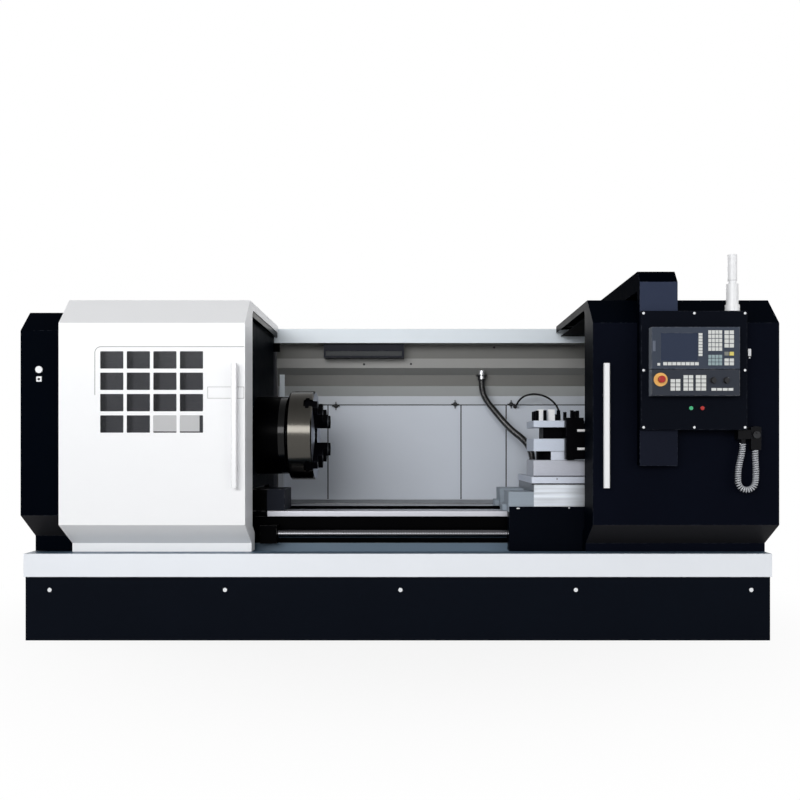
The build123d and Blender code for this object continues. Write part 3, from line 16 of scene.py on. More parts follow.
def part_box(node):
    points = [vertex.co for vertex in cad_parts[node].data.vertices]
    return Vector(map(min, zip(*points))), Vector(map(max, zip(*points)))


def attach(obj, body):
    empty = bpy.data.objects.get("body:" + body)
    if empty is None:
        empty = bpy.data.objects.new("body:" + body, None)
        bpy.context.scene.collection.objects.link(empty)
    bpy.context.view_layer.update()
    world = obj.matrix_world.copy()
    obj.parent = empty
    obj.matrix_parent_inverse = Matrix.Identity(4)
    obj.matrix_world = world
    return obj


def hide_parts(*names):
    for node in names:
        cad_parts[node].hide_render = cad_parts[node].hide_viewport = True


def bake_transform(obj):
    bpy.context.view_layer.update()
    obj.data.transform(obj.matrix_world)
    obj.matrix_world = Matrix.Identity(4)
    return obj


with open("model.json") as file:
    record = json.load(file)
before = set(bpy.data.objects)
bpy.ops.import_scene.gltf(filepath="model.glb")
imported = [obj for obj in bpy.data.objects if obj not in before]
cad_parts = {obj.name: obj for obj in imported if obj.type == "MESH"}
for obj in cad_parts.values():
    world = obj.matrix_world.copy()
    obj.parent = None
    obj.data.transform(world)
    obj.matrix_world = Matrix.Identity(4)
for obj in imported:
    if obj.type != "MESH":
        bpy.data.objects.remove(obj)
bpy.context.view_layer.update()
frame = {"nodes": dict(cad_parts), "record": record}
log = logging.getLogger("lathe")

Colour = tuple[float, float, float]
Point = tuple[float, float, float]
Spot = tuple[float, float]

LEAN, HALF, STEEP, FULL = 0.3, 0.5, 0.7, 0.9  # the least share of a face's normal along an axis
TONE_CELLS, SMUDGE_CELLS, RUB_CELLS = 1.6, 9.0, 48.0  # noise cells per metre
FINE_DEPTH, CAST_DEPTH, MOULD_DEPTH, THREAD_DEPTH = 0.0006, 0.0012, 0.0003, 0.004  # relief, in metres
RUB_LEVEL = 0.52  # the noise over which an edge is rubbed


def linear(red: float, green: float, blue: float) -> Colour:
    """Turns display values from 0 to 255 into linear light."""
    shares = (red / 255, green / 255, blue / 255)
    return tuple(s / 12.92 if s <= 0.04045 else ((s + 0.055) / 1.055) ** 2.4 for s in shares)


class Signal:
    """An output socket of a material graph that takes part in sums like a number."""

    def __init__(self, graph: "Graph", socket: bpy.types.NodeSocket) -> None:
        """Keeps the socket and the graph it belongs to."""
        self.graph = graph
        self.socket = socket

    def _sum(self, operation: str, *values: Any) -> "Signal":
        """Adds one Math node for values or signals."""
        return self.graph.node("ShaderNodeMath", {"operation": operation}, dict(enumerate(values)))

    def __add__(self, other: Any) -> "Signal":
        """Gives self + other."""
        return self._sum("ADD", self, other)

    def __radd__(self, other: Any) -> "Signal":
        """Gives other + self."""
        return self._sum("ADD", other, self)

    def __sub__(self, other: Any) -> "Signal":
        """Gives self - other."""
        return self._sum("SUBTRACT", self, other)

    def __rsub__(self, other: Any) -> "Signal":
        """Gives other - self."""
        return self._sum("SUBTRACT", other, self)

    def __mul__(self, other: Any) -> "Signal":
        """Gives self * other."""
        return self._sum("MULTIPLY", self, other)

    def above(self, edge: float) -> "Signal":
        """Gives 1 where the signal is over the edge and 0 elsewhere."""
        return self._sum("GREATER_THAN", self, edge)

    def turn(self, other: "Signal") -> "Signal":
        """Gives the angle of the point whose height is self and whose reach is other."""
        return self._sum("ARCTAN2", self, other)

    def part(self) -> "Signal":
        """Gives the part after the decimal point."""
        return self._sum("FRACT", self)

    def wave(self) -> "Signal":
        """Gives the sine of the signal."""
        return self._sum("SINE", self)

    def around(self, middle: Any, swing: float) -> "Signal":
        """Sways a middle value by a signal that runs from 0 to 1."""
        return middle + (self - 0.5) * swing


class Graph:
    """The node tree of a material or of the surround."""

    def __init__(self, owner: bpy.types.Material | bpy.types.World) -> None:
        """Empties the owner's node tree.

        Args:
            owner: The material or the surround.
        """
        owner.use_nodes = True
        self.tree = owner.node_tree
        self.tree.nodes.clear()

    def node(self, kind: str, settings: Mapping[str, Any] | None = None,
             inputs: Mapping[Any, Any] | None = None, output: Any = 0) -> Signal | None:
        """Adds a node.

        Args:
            kind: The node's type.
            settings: Properties that are set first.
            inputs: Values or signals by socket name or number.
            output: The name or number of the output that is wanted.

        Returns:
            The wanted output, or None for a node that ends the tree.
        """
        made = self.tree.nodes.new(kind)
        for key, value in (settings or {}).items():
            setattr(made, key, value)
        for key, value in (inputs or {}).items():
            socket = made.inputs[key]
            if isinstance(value, Signal):
                self.tree.links.new(value.socket, socket)
            elif socket.type == "RGBA":
                socket.default_value = (*value, 1.0)
            else:
                socket.default_value = value
        return Signal(self, made.outputs[output]) if made.outputs else None

    def place(self, stretch: Point = (1, 1, 1)) -> Signal:
        """Gives object coordinates, stretched per axis."""
        raw = self.node("ShaderNodeTexCoord", output="Object")
        return self.node("ShaderNodeMapping", inputs={"Vector": raw, "Scale": stretch})

    def axes(self, where: Signal) -> list[Signal]:
        """Gives the three parts of a vector."""
        apart = self.node("ShaderNodeSeparateXYZ", inputs={0: where}).socket.node
        return [Signal(self, socket) for socket in apart.outputs]

    def noise(self, where: Signal, scale: float, detail: float = 2, rough: float = 0.5) -> Signal:
        """Gives a noise from 0 to 1 with so many cells a metre."""
        return self.node("ShaderNodeTexNoise", {"normalize": True},
                         {"Vector": where, "Scale": scale, "Detail": detail, "Roughness": rough})

    def ease(self, value: Signal, span: Spot, ends: Spot, kind: str = "SMOOTHSTEP") -> Signal:
        """Passes from one end value to the other while a value crosses a span."""
        limits = {"From Min": span[0], "From Max": span[1], "To Min": ends[0], "To Max": ends[1]}
        return self.node("ShaderNodeMapRange", {"interpolation_type": kind}, {"Value": value, **limits})

    def mix(self, share: Any, first: Any, second: Any) -> Signal:
        """Mixes two colours by a share."""
        return self.node("ShaderNodeMix", {"data_type": "RGBA"}, {0: share, 6: first, 7: second}, output=2)

    def shade(self, colour: Any, factor: Any) -> Signal:
        """Scales a colour by a factor."""
        return self.node("ShaderNodeVectorMath", {"operation": "SCALE"}, {0: colour, "Scale": factor})

    def bump(self, height: Signal, strength: float, depth: float) -> Signal:
        """Gives normals raised by a height."""
        return self.node("ShaderNodeBump", inputs={"Height": height, "Strength": strength, "Distance": depth})

    def seen(self, *kinds: str) -> Signal:
        """Gives 1 for rays of any of the kinds that are named, and 0 for other light.

        Args:
            kinds: The kinds of rays.

        Returns:
            The signal.
        """
        hidden: Any = 1
        for kind in kinds:
            hidden = (1 - self.node("ShaderNodeLightPath", output=f"Is {kind} Ray")) * hidden
        return 1 - hidden


class Texture(Enum):
    """How a surface is worked."""

    PAINT = "sprayed paint"
    GROUND = "ground or turned metal"
    # Banded metal also darkens along X, which is painted shade.
    BANDED = "milled metal with broad cutter bands"
    # Threads are painted darker in their grooves as painted shade.
    THREAD = "rolled screw thread"
    CAST = "raw or painted casting"
    MOULDED = "moulded plastic"
    RUBBER = "rubber or flexible vinyl"
    # Clear sheets get a painted sheen and a painted shadow at the left of each pane.
    CLEAR = "clear sheet"


@dataclass(frozen=True)
class Finish:
    """One finish of the lathe.

    Attributes:
        name: The finish in plain words.
        slot: The material slot of the record that it stands for.
        colour: The mean colour, linear.
        texture: How the surface is worked.
        roughness: The mean roughness.
        metallic: 1 for bare metal.
        specular: The specular level.
        bend: The index of refraction, low for a matt black that stays black at a glance.
        coat: The weight of a clear top coat.
        drift: The share by which the tone wanders over the piece.
        patch: How far smudges change the roughness.
        grain: Texture cells per metre.
        relief: The strength of the texture's bump.
        streak: How the texture is stretched along the axes.
        worn: The colour that shows on rubbed edges; on the black finishes it is lighter, partly wear and
            partly a painted highlight along the edges.
        rub: How much of the edges is rubbed.
        alpha: Below 1 for a clear sheet.
        centre: The axis of a thread, as Y and Z, the start along X of the panes' painted shadows, or where
            the painted shade on milled metal starts and ends.
        pitch: The pitch of a thread or of the panes.
    """

    name: str
    slot: str
    colour: Colour
    texture: Texture = Texture.PAINT
    roughness: float = 0.42
    metallic: float = 0.0
    specular: float = 0.5
    bend: float = 1.5
    coat: float = 0.0
    drift: float = 0.03
    patch: float = 0.14
    grain: float = 420.0
    relief: float = 0.05
    streak: Point = (1, 1, 1)
    worn: Colour = (0.3, 0.3, 0.3)
    rub: float = 0.25
    alpha: float = 1.0
    centre: Spot = (0.0, 0.0)
    pitch: float = 0.01

    def like(self, name: str, red: float, green: float, blue: float, **changes: Any) -> "Finish":
        """Gives a finish of the same kind in another colour, given by display values."""
        return replace(self, name=name, colour=linear(red, green, blue), **changes)

    def material(self) -> bpy.types.Material:
        """Builds the material once.

        Returns:
            The material of this finish.
        """
        known = bpy.data.materials.get(self.name)
        if known:
            return known
        material = bpy.data.materials.new(self.name)
        graph = Graph(material)
        place = graph.place()
        smudge = graph.noise(place, SMUDGE_CELLS, 5, 0.65)
        fine = graph.noise(graph.place(self.streak), self.grain, 3, 0.6)
        colour = graph.shade(self.colour, graph.noise(place, TONE_CELLS, 3).around(1, 2 * self.drift))
        rough = smudge.around(self.roughness, self.patch)
        height, depth = fine, FINE_DEPTH
        if self.texture is Texture.GROUND:
            colour = graph.shade(colour, fine.around(1, 0.3))
            rough = fine.around(rough, 0.2)
        elif self.texture is Texture.BANDED:
            bands = graph.noise(graph.place((0.05, 0.05, 1)), 42.0, 1)
            # Painted shade: milled metal darkens along X between the two places of centre.
            fade = graph.ease(graph.axes(place)[0], self.centre, (1.0, 0.4))
            colour = graph.shade(colour, fine.around(0.5 + bands, 0.2) * fade)
            rough = bands.around(rough, 0.3)
        elif self.texture is Texture.THREAD:
            height, depth = self._thread(graph, place), THREAD_DEPTH
            # Painted shade: the thread is darker in its grooves.
            colour = graph.shade(colour, 0.75 + height * 0.25)
        elif self.texture is Texture.CAST:
            colour = graph.shade(colour, smudge.around(fine.around(1, 0.3), 0.15))
            height, depth = fine + smudge, CAST_DEPTH
        elif self.texture in (Texture.MOULDED, Texture.RUBBER):
            rough = fine.around(rough, 0.12)
            depth = MOULD_DEPTH
        elif self.texture is Texture.CLEAR:
            # Painted reflection and shadow: a streaky sheen, and a dark strip at the left of each pane for
            # the shadow of the frame's depth.
            painted_sheen = graph.noise(graph.place((1, 1, 0.25)), 7.0, 1)
            pane_shadow_place = ((graph.axes(place)[0] - self.centre[0]) * (1 / self.pitch)).part()
            colour = graph.shade(colour, 0.3 + graph.ease(pane_shadow_place, (0.28, 0.4), (0.0, 0.5)) + painted_sheen * 0.55)
        # Rubbed edges: wear, and on the black finishes also a painted highlight along the edges.
        edges = graph.node("ShaderNodeAttribute", {"attribute_name": "edge"}, output="Fac")
        rubbed = edges * graph.noise(place, RUB_CELLS, 4, 0.7).above(RUB_LEVEL) * self.rub
        inputs: dict[str, Any] = {
            "Base Color": graph.mix(rubbed, colour, self.worn), "Roughness": rough, "Metallic": self.metallic,
            "Specular IOR Level": self.specular, "IOR": self.bend, "Coat Weight": self.coat,
            "Normal": graph.bump(height, self.relief, depth), "Alpha": self.alpha,
        }
        shader = graph.node("ShaderNodeBsdfPrincipled", inputs=inputs)
        graph.node("ShaderNodeOutputMaterial", inputs={"Surface": shader})
        return material

    def _thread(self, graph: Graph, place: Signal) -> Signal:
        """Gives the height of a screw thread round an axis along X.

        Args:
            graph: The material graph.
            place: The object coordinates.

        Returns:
            A wave that winds along the axis.
        """
        along, across, up = graph.axes(place)
        angle = (across - self.centre[0]).turn(up - self.centre[1])
        return (along * (2 * math.pi / self.pitch) + angle).wave()


# Lighter edges on the black finishes: partly wear, partly a painted highlight where edges catch light.
EDGE_WEAR_AND_GLINT = linear(74, 78, 88)
GRIME = linear(168, 168, 164)

TRAY_WHITE = Finish("tray_white", "white_paint", linear(238, 242, 248), roughness=0.4, worn=GRIME)
DOOR_WHITE = TRAY_WHITE.like("door_white", 246, 247, 249, roughness=0.34, coat=0.1, drift=0.015)
WALL_GREY = TRAY_WHITE.like("wall_grey", 210, 217, 228, roughness=0.42, drift=0.06)
# Painted shade: the white tray's trough is painted grey-blue where it lies in shade.
TROUGH_SHADE = Finish("trough_painted_shade", "white_paint", linear(84, 107, 127), roughness=0.5, drift=0.1)

FASCIA_PALE = Finish("fascia_pale", "grey_paint", linear(234, 243, 250), roughness=0.4)
STRIP_GREY = FASCIA_PALE.like("strip_grey", 246, 247, 250)
GUARD_GREY = FASCIA_PALE.like("guard_grey", 196, 202, 210, roughness=0.42, worn=GRIME)
# Painted light and shade: lighter and darker greys for the rear guard's recess, its underside, its band and
# its folds.
RECESS_SHADE = FASCIA_PALE.like("recess_painted_shade", 106, 106, 103, roughness=0.5, drift=0.06)
BAND_LIGHT = RECESS_SHADE.like("band_painted_light", 152, 152, 150)
STEP_SHADE = RECESS_SHADE.like("step_painted_shade", 134, 135, 133)
FOLD_SHADE = RECESS_SHADE.like("fold_painted_shade", 188, 191, 191, roughness=0.48)
SEAM_GREY = FASCIA_PALE.like("seam_grey", 112, 112, 112, texture=Texture.RUBBER, roughness=0.6)

BOX_BLACK = Finish("box_black", "black_paint", linear(12, 15, 23), roughness=0.46, specular=0.15, bend=1.14,
                   drift=0.15, worn=EDGE_WEAR_AND_GLINT, rub=0.3)
BASE_BLACK = BOX_BLACK.like("base_black", 12, 16, 24, roughness=0.48)
ARM_BLACK = BOX_BLACK.like("arm_black", 50, 57, 76)
LOW_BLACK = BOX_BLACK.like("low_black", 24, 27, 38)
# Painted light: a lighter black for the downward-facing lower slopes of the black covers.
SLOPE_LIT_BLACK = BOX_BLACK.like("slope_painted_light", 36, 36, 39, drift=0.03, rub=0.25)
RIGHT_BLACK = BOX_BLACK.like("right_black", 9, 12, 22, roughness=0.42, specular=0.1, drift=0.35)
COVER_BLACK = BOX_BLACK.like("cover_black", 2, 5, 12, roughness=0.44, specular=0.05, drift=0.2)
SHADE_BLACK = COVER_BLACK.like("shade_black", 2, 4, 10, roughness=0.6, specular=0.004, rub=0.25)
CAST_BLACK = SLOPE_LIT_BLACK.like("cast_black", 5, 8, 16, texture=Texture.CAST, grain=450, relief=0.12)
DEEP_BLACK = Finish("deep_black", "black_paint", linear(1, 1, 2), Texture.CAST, 0.3, specular=0.15, bend=1.14,
                    grain=400)
NOSE_BLACK = Finish("nose_black", "black_paint", linear(1, 1, 2), roughness=0.12, specular=0.2, rub=0.0)
LAMP_NAVY = Finish("lamp_navy", "black_paint", linear(26, 28, 38), roughness=0.45, specular=0.1)

BRIGHT_STEEL = Finish("bright_steel", "steel_ground", linear(226, 228, 231), Texture.GROUND, 0.24, 0.7,
                      grain=800)
# Near-white steel: on the tooling's bars it is a painted highlight.
BAR_STEEL = BRIGHT_STEEL.like("bar_steel", 250, 250, 251, roughness=0.3, metallic=0.1)
CHUCK_FACE = BRIGHT_STEEL.like("chuck_face", 168, 173, 186, roughness=0.36, metallic=0.8, grain=500)
CHUCK_STEEL = BRIGHT_STEEL.like("chuck_steel", 78, 76, 72, roughness=0.18, metallic=1.0, grain=420,
                                streak=(1, 0.02, 0.02), patch=0.08)
CROSS_STEEL = BRIGHT_STEEL.like("cross_steel", 184, 186, 190, roughness=0.3, metallic=1.0, grain=420,
                                streak=(1, 0.2, 1))
THREAD_STEEL = Finish("thread_steel", "steel_ground", linear(118, 118, 122), Texture.THREAD, 0.14, 1.0,
                      relief=0.08, centre=(-0.47, 0.589), pitch=0.01)
LEDGE_STEEL = Finish("ledge_steel", "steel_ground", linear(110, 112, 114), Texture.GROUND, 0.4, 0.6,
                     grain=900, streak=(0.05, 1, 1))
WAY_STEEL = LEDGE_STEEL.like("way_steel", 184, 185, 192, roughness=0.36, metallic=0.7, relief=0.06)
# Painted shade: the saddle's milled front darkens to the right.
MILLED_SHADED = LEDGE_STEEL.like("milled_front_painted_shade", 224, 230, 238, texture=Texture.BANDED, metallic=0.3,
                          centre=(0.98, 1.14))
SLIDE_STEEL = Finish("slide_steel", "steel_ground", linear(198, 204, 217), Texture.GROUND, 0.36, 0.5,
                     grain=700, streak=(0.06, 1, 1), relief=0.06)
MACHINED = SLIDE_STEEL.like("machined_iron", 112, 117, 124, metallic=0.8, relief=0.08)
POST_STEEL = Finish("post_steel", "steel_ground", linear(190, 198, 212), Texture.GROUND, 0.4, 0.4, grain=700,
                    streak=(0.08, 0.08, 1))
BASE_STEEL = POST_STEEL.like("base_steel", 182, 185, 195, roughness=0.42, grain=600)
DARK_STEEL = Finish("dark_steel", "steel_dark", linear(34, 35, 40), Texture.GROUND, 0.36, 0.6, grain=500)
TOOL_BLACK = DARK_STEEL.like("tool_black", 5, 5, 8, metallic=0.0, specular=0.15, bend=1.14, grain=600,
                             worn=EDGE_WEAR_AND_GLINT)
CAST_BLUE = Finish("cast_blue", "steel_dark", linear(28, 31, 40), Texture.CAST, 0.5, specular=0.06, grain=500,
                   relief=0.18)
CAST_GREY = Finish("cast_grey", "iron", linear(152, 163, 174), Texture.CAST, 0.5, specular=0.2, grain=450,
                   relief=0.12)
TRIM_GREY = Finish("trim_grey", "aluminium", linear(132, 138, 148), Texture.GROUND, 0.4, 0.3)
HANDLE_WHITE = TRIM_GREY.like("handle_white", 238, 239, 241, roughness=0.34, metallic=0.1, grain=900,
                              streak=(1, 1, 0.05), worn=GRIME)

PORT_GREY = Finish("port_grey", "panel_plastic", linear(84, 92, 108), Texture.MOULDED, 0.5, grain=1500)
PANEL_LOW = PORT_GREY.like("panel_low", 50, 54, 63, specular=0.12)
PANEL_GREY = PANEL_LOW.like("panel_grey", 60, 67, 80, relief=0.1, worn=linear(110, 114, 122), rub=0.6)
KEY_GREY = PORT_GREY.like("key_grey", 120, 122, 116, slot="key_plastic", roughness=0.45)
KEY_YELLOW = KEY_GREY.like("key_yellow", 216, 200, 104)
KEY_PALE = KEY_GREY.like("key_pale", 214, 216, 214, drift=0.1)
KEY_TEAL = KEY_PALE.like("key_teal", 142, 162, 166)
ORANGE_RING = KEY_GREY.like("orange_ring", 240, 182, 96, roughness=0.35, grain=900)
RED_GLOSS = Finish("red_gloss", "red_plastic", linear(172, 26, 20), Texture.MOULDED, 0.25, grain=900,
                   relief=0.02)
GREEN_GLOSS = RED_GLOSS.like("green_gloss", 60, 178, 122, slot="green_plastic")
SCREEN_DARK = RED_GLOSS.like("screen_dark", 44, 53, 73, slot="screen_plastic", roughness=0.16, specular=0.16,
                             relief=0.01)
BLACK_PLASTIC = Finish("black_stipple", "black_plastic", linear(24, 25, 29), Texture.MOULDED, 0.45,
                       specular=0.3, grain=1400, relief=0.1, worn=EDGE_WEAR_AND_GLINT)
PENDANT_BLACK = BLACK_PLASTIC.like("pendant_black", 10, 10, 13, roughness=0.4, specular=0.08)
WHITE_PLASTIC = Finish("white_satin", "white_plastic", linear(238, 239, 241), Texture.MOULDED, 0.32,
                       grain=1200)
LAMP_LENS = WHITE_PLASTIC.like("lamp_lens", 70, 72, 74, roughness=0.5, specular=0.1, grain=300)
FILM_PALE = WHITE_PLASTIC.like("film_pale", 182, 183, 185, roughness=0.3, grain=420)

CABLE_BLACK = Finish("cable_black", "hose_rubber", linear(14, 14, 16), Texture.RUBBER, 0.5, specular=0.2,
                     grain=900)
SEAL_BLACK = CABLE_BLACK.like("seal_black", 20, 21, 24, roughness=0.6)
HOSE_BLACK = CABLE_BLACK.like("hose_black", 12, 12, 14, roughness=0.16, specular=0.9, coat=0.8)
CORD_GREY = CABLE_BLACK.like("cord_grey", 170, 173, 179, slot="cord_rubber", roughness=0.12, specular=1.0,
                             coat=1.0)
# Painted shadow and sheen: the window darkens at the left of each pane and carries streaks of sheen.
WINDOW = Finish("window_sheet", "window_glass", linear(76, 77, 81), Texture.CLEAR, 0.12, specular=0.05,
                relief=0.0, alpha=0.66, centre=(-1.692, 0.0), pitch=0.1498)


def break_edges(work: bmesh.types.BMesh, edges: list[bmesh.types.BMEdge],
                width: float) -> list[bmesh.types.BMFace]:
    """Rounds edges in two steps and gives the new faces."""
    return bmesh.ops.bevel(work, geom=edges, offset=width, offset_type="OFFSET", segments=2, profile=0.5,
                           affect="EDGES", clamp_overlap=True, material=-1)["faces"]


@dataclass(frozen=True)
class Shape:
    """A plain shape between two points.

    Attributes:
        first: The lowest corner, or the middle of one end.
        last: The highest corner, or the middle of the other end.
    """

    first: Point
    last: Point

    def at(self, place: Sequence[float]) -> "Shape":
        """Gives a copy moved by a place."""
        first, last = (tuple(a + b for a, b in zip(point, place)) for point in (self.first, self.last))
        return replace(self, first=first, last=last)

    def add(self, work: bmesh.types.BMesh) -> None:
        """Adds the shape to a mesh."""
        raise NotImplementedError


@dataclass(frozen=True)
class Block(Shape):
    """A block.

    Attributes:
        edge: The width of the broken edges.
    """

    edge: float = 0.0

    def add(self, work: bmesh.types.BMesh) -> None:
        """Adds the block to a mesh.

        Args:
            work: The mesh.
        """
        low, high = Vector(self.first), Vector(self.last)
        place = Matrix.Translation((low + high) / 2) @ Matrix.Diagonal((*(high - low), 1.0))
        corners = bmesh.ops.create_cube(work, size=1.0, matrix=place)["verts"]
        if self.edge:
            break_edges(work, list(dict.fromkeys(e for v in corners for e in v.link_edges)), self.edge)


@dataclass(frozen=True)
class Rod(Shape):
    """A rod.

    Attributes:
        radius: The radius.
        sides: The number of sides.
        edge: The width of the broken end edges.
    """

    radius: float
    sides: int = 24
    edge: float = 0.0

    def add(self, work: bmesh.types.BMesh) -> None:
        """Adds the rod to a mesh.

        Args:
            work: The mesh.
        """
        start, end = Vector(self.first), Vector(self.last)
        turn = (end - start).to_track_quat("Z", "Y").to_matrix().to_4x4()
        rims = bmesh.ops.create_cone(work, cap_ends=True, segments=self.sides, radius1=self.radius,
                                     radius2=self.radius, depth=(end - start).length,
                                     matrix=Matrix.Translation((start + end) / 2) @ turn)["verts"]
        if self.edge:
            edges = dict.fromkeys(e for v in rims for e in v.link_edges if e.calc_face_angle(0.0) > 1.0)
            break_edges(work, list(edges), self.edge)


class Shop:
    """Turns meshes into finished pieces that ride on the lathe's bodies."""

    def __init__(self) -> None:
        """Notes which body each node rides on."""
        self.nodes: dict[str, bpy.types.Object] = frame["nodes"]
        self.body_of = {n: b for b, ns in frame["record"]["behaviour"]["bodies"].items() for n in ns}

    def piece(self, name: str, work: bmesh.types.BMesh, finishes: Sequence[Finish], body: str,
              smooth: float = 32.0) -> bpy.types.Object:
        """Makes a riding piece of a finished mesh.

        Args:
            name: The piece's name.
            work: The mesh, which is freed.
            finishes: The finishes of its material slots.
            body: The body that it rides on.
            smooth: Edges over this angle, in degrees, stay sharp.

        Returns:
            The piece.
        """
        mesh = bpy.data.meshes.new(name)
        work.to_mesh(mesh)
        work.free()
        mesh.polygons.foreach_set("use_smooth", [True] * len(mesh.polygons))
        mesh.set_sharp_from_angle(angle=math.radians(smooth))
        for finish in finishes:
            mesh.materials.append(finish.material())
        made = bpy.data.objects.new(name, mesh)
        bpy.context.scene.collection.objects.link(made)
        weights = made.modifiers.new("flat_faces", "WEIGHTED_NORMAL")
        weights.keep_sharp = True
        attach(made, body)
        log.info("piece %s on %s", name, body)
        return made

    def dress(self, node: str, finishes: Sequence[Finish], edge: float = 0.0015,
              pick: Callable[[Vector, Vector], int] | None = None,
              cuts: Sequence[tuple[int, float]] = ()) -> None:
        """Replaces a node by a finished copy with broken edges.

        Args:
            node: The node.
            finishes: The finishes of the copy's material slots.
            edge: The width of the broken edges, in metres.
            pick: Chooses a slot from a face's middle and normal.
            cuts: The axes and places where a flat face changes its finish.
        """
        work = bmesh.new()
        work.from_mesh(self.nodes[node].data)
        bmesh.ops.remove_doubles(work, verts=work.verts, dist=1e-5)
        bmesh.ops.dissolve_limit(work, angle_limit=math.radians(1), verts=work.verts, edges=work.edges)
        for axis, place in cuts:
            normal = Vector([float(axis == i) for i in range(3)])
            bmesh.ops.bisect_plane(work, geom=[*work.verts, *work.edges, *work.faces], dist=1e-6,
                                   plane_co=normal * place, plane_no=normal)
        for face in work.faces:
            face.material_index = pick(face.calc_center_median(), face.normal) if pick else 0
        sharp = [e for e in work.edges if e.is_manifold and e.calc_face_angle() > math.radians(28)]
        rubbed = work.faces.layers.float.new("edge")
        if edge:
            for face in break_edges(work, sharp, edge):
                face[rubbed] = 1.0
        made = self.piece("dressed_" + node, work, finishes, self.body_of[node], 50.0)
        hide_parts(node)


@dataclass(frozen=True)
class Extra:
    """A small piece that only the picture has.

    Attributes:
        name: The piece's name.
        finish: Its finish.
        body: The body that it rides on.
        shapes: Its blocks and rods.
        places: The places at which all of them stand.
    """

    name: str
    finish: Finish
    body: str
    shapes: tuple[Shape, ...]
    places: tuple[Point, ...] = ((0.0, 0.0, 0.0),)

    def fit(self, shop: Shop, *places: Point) -> None:
        """Makes the piece.

        Args:
            shop: Where it is made.
            places: Other places than its own.
        """
        work = bmesh.new()
        for place in places or self.places:
            for shape in self.shapes:
                shape.at(place).add(work)
        shop.piece(self.name, work, [self.finish], self.body)


def add_curve(name: str, kind: str, points: Sequence[Sequence[float]], detail: int, radius: float = 0.0,
              rounds: int = 4) -> bpy.types.Object:
    """Links a curve through points.

    Args:
        name: The curve's name.
        kind: The kind of spline.
        points: The control points, in metres.
        detail: Points per span of the spline.
        radius: The radius of the tube round it.
        rounds: How finely the tube is rounded.

    Returns:
        The curve's object.
    """
    curve = bpy.data.curves.new(name, "CURVE")
    curve.dimensions = "3D"
    curve.resolution_u = detail
    curve.bevel_depth = radius
    curve.bevel_resolution = rounds
    curve.use_fill_caps = radius > 0
    spline = curve.splines.new(kind)
    spline.points.add(len(points) - 1)
    for knot, place in zip(spline.points, points):
        knot.co = (*place, 1.0)
    spline.order_u = 3
    spline.use_endpoint_u = True
    spline.resolution_u = detail
    made = bpy.data.objects.new(name, curve)
    bpy.context.scene.collection.objects.link(made)
    return made


def take_mesh(holder: bpy.types.Object) -> bpy.types.Mesh:
    """Turns a curve's object into a mesh and takes the object away.

    Args:
        holder: The curve's object.

    Returns:
        The mesh.
    """
    bpy.context.view_layer.update()
    mesh = bpy.data.meshes.new_from_object(holder)
    bpy.data.objects.remove(holder)
    return mesh


def run_length(places: Sequence[Vector]) -> float:
    """Gives the length of a line of points."""
    return sum((b - a).length for a, b in zip(places, places[1:]))


@dataclass(frozen=True)
class Route:
    """The line of a cord.

    Attributes:
        name: The cord's name.
        points: The control points, in metres.
        detail: Points per span of the spline.
    """

    name: str
    points: tuple[Point, ...]
    detail: int

    def line(self) -> list[Vector]:
        """Reads points from a smooth spline through the route.

        Returns:
            The points, in order from the first control point.
        """
        mesh = take_mesh(add_curve(self.name + "_line", "NURBS", self.points, self.detail))
        places = [v.co.copy() for v in mesh.vertices]
        bpy.data.meshes.remove(mesh)
        return places


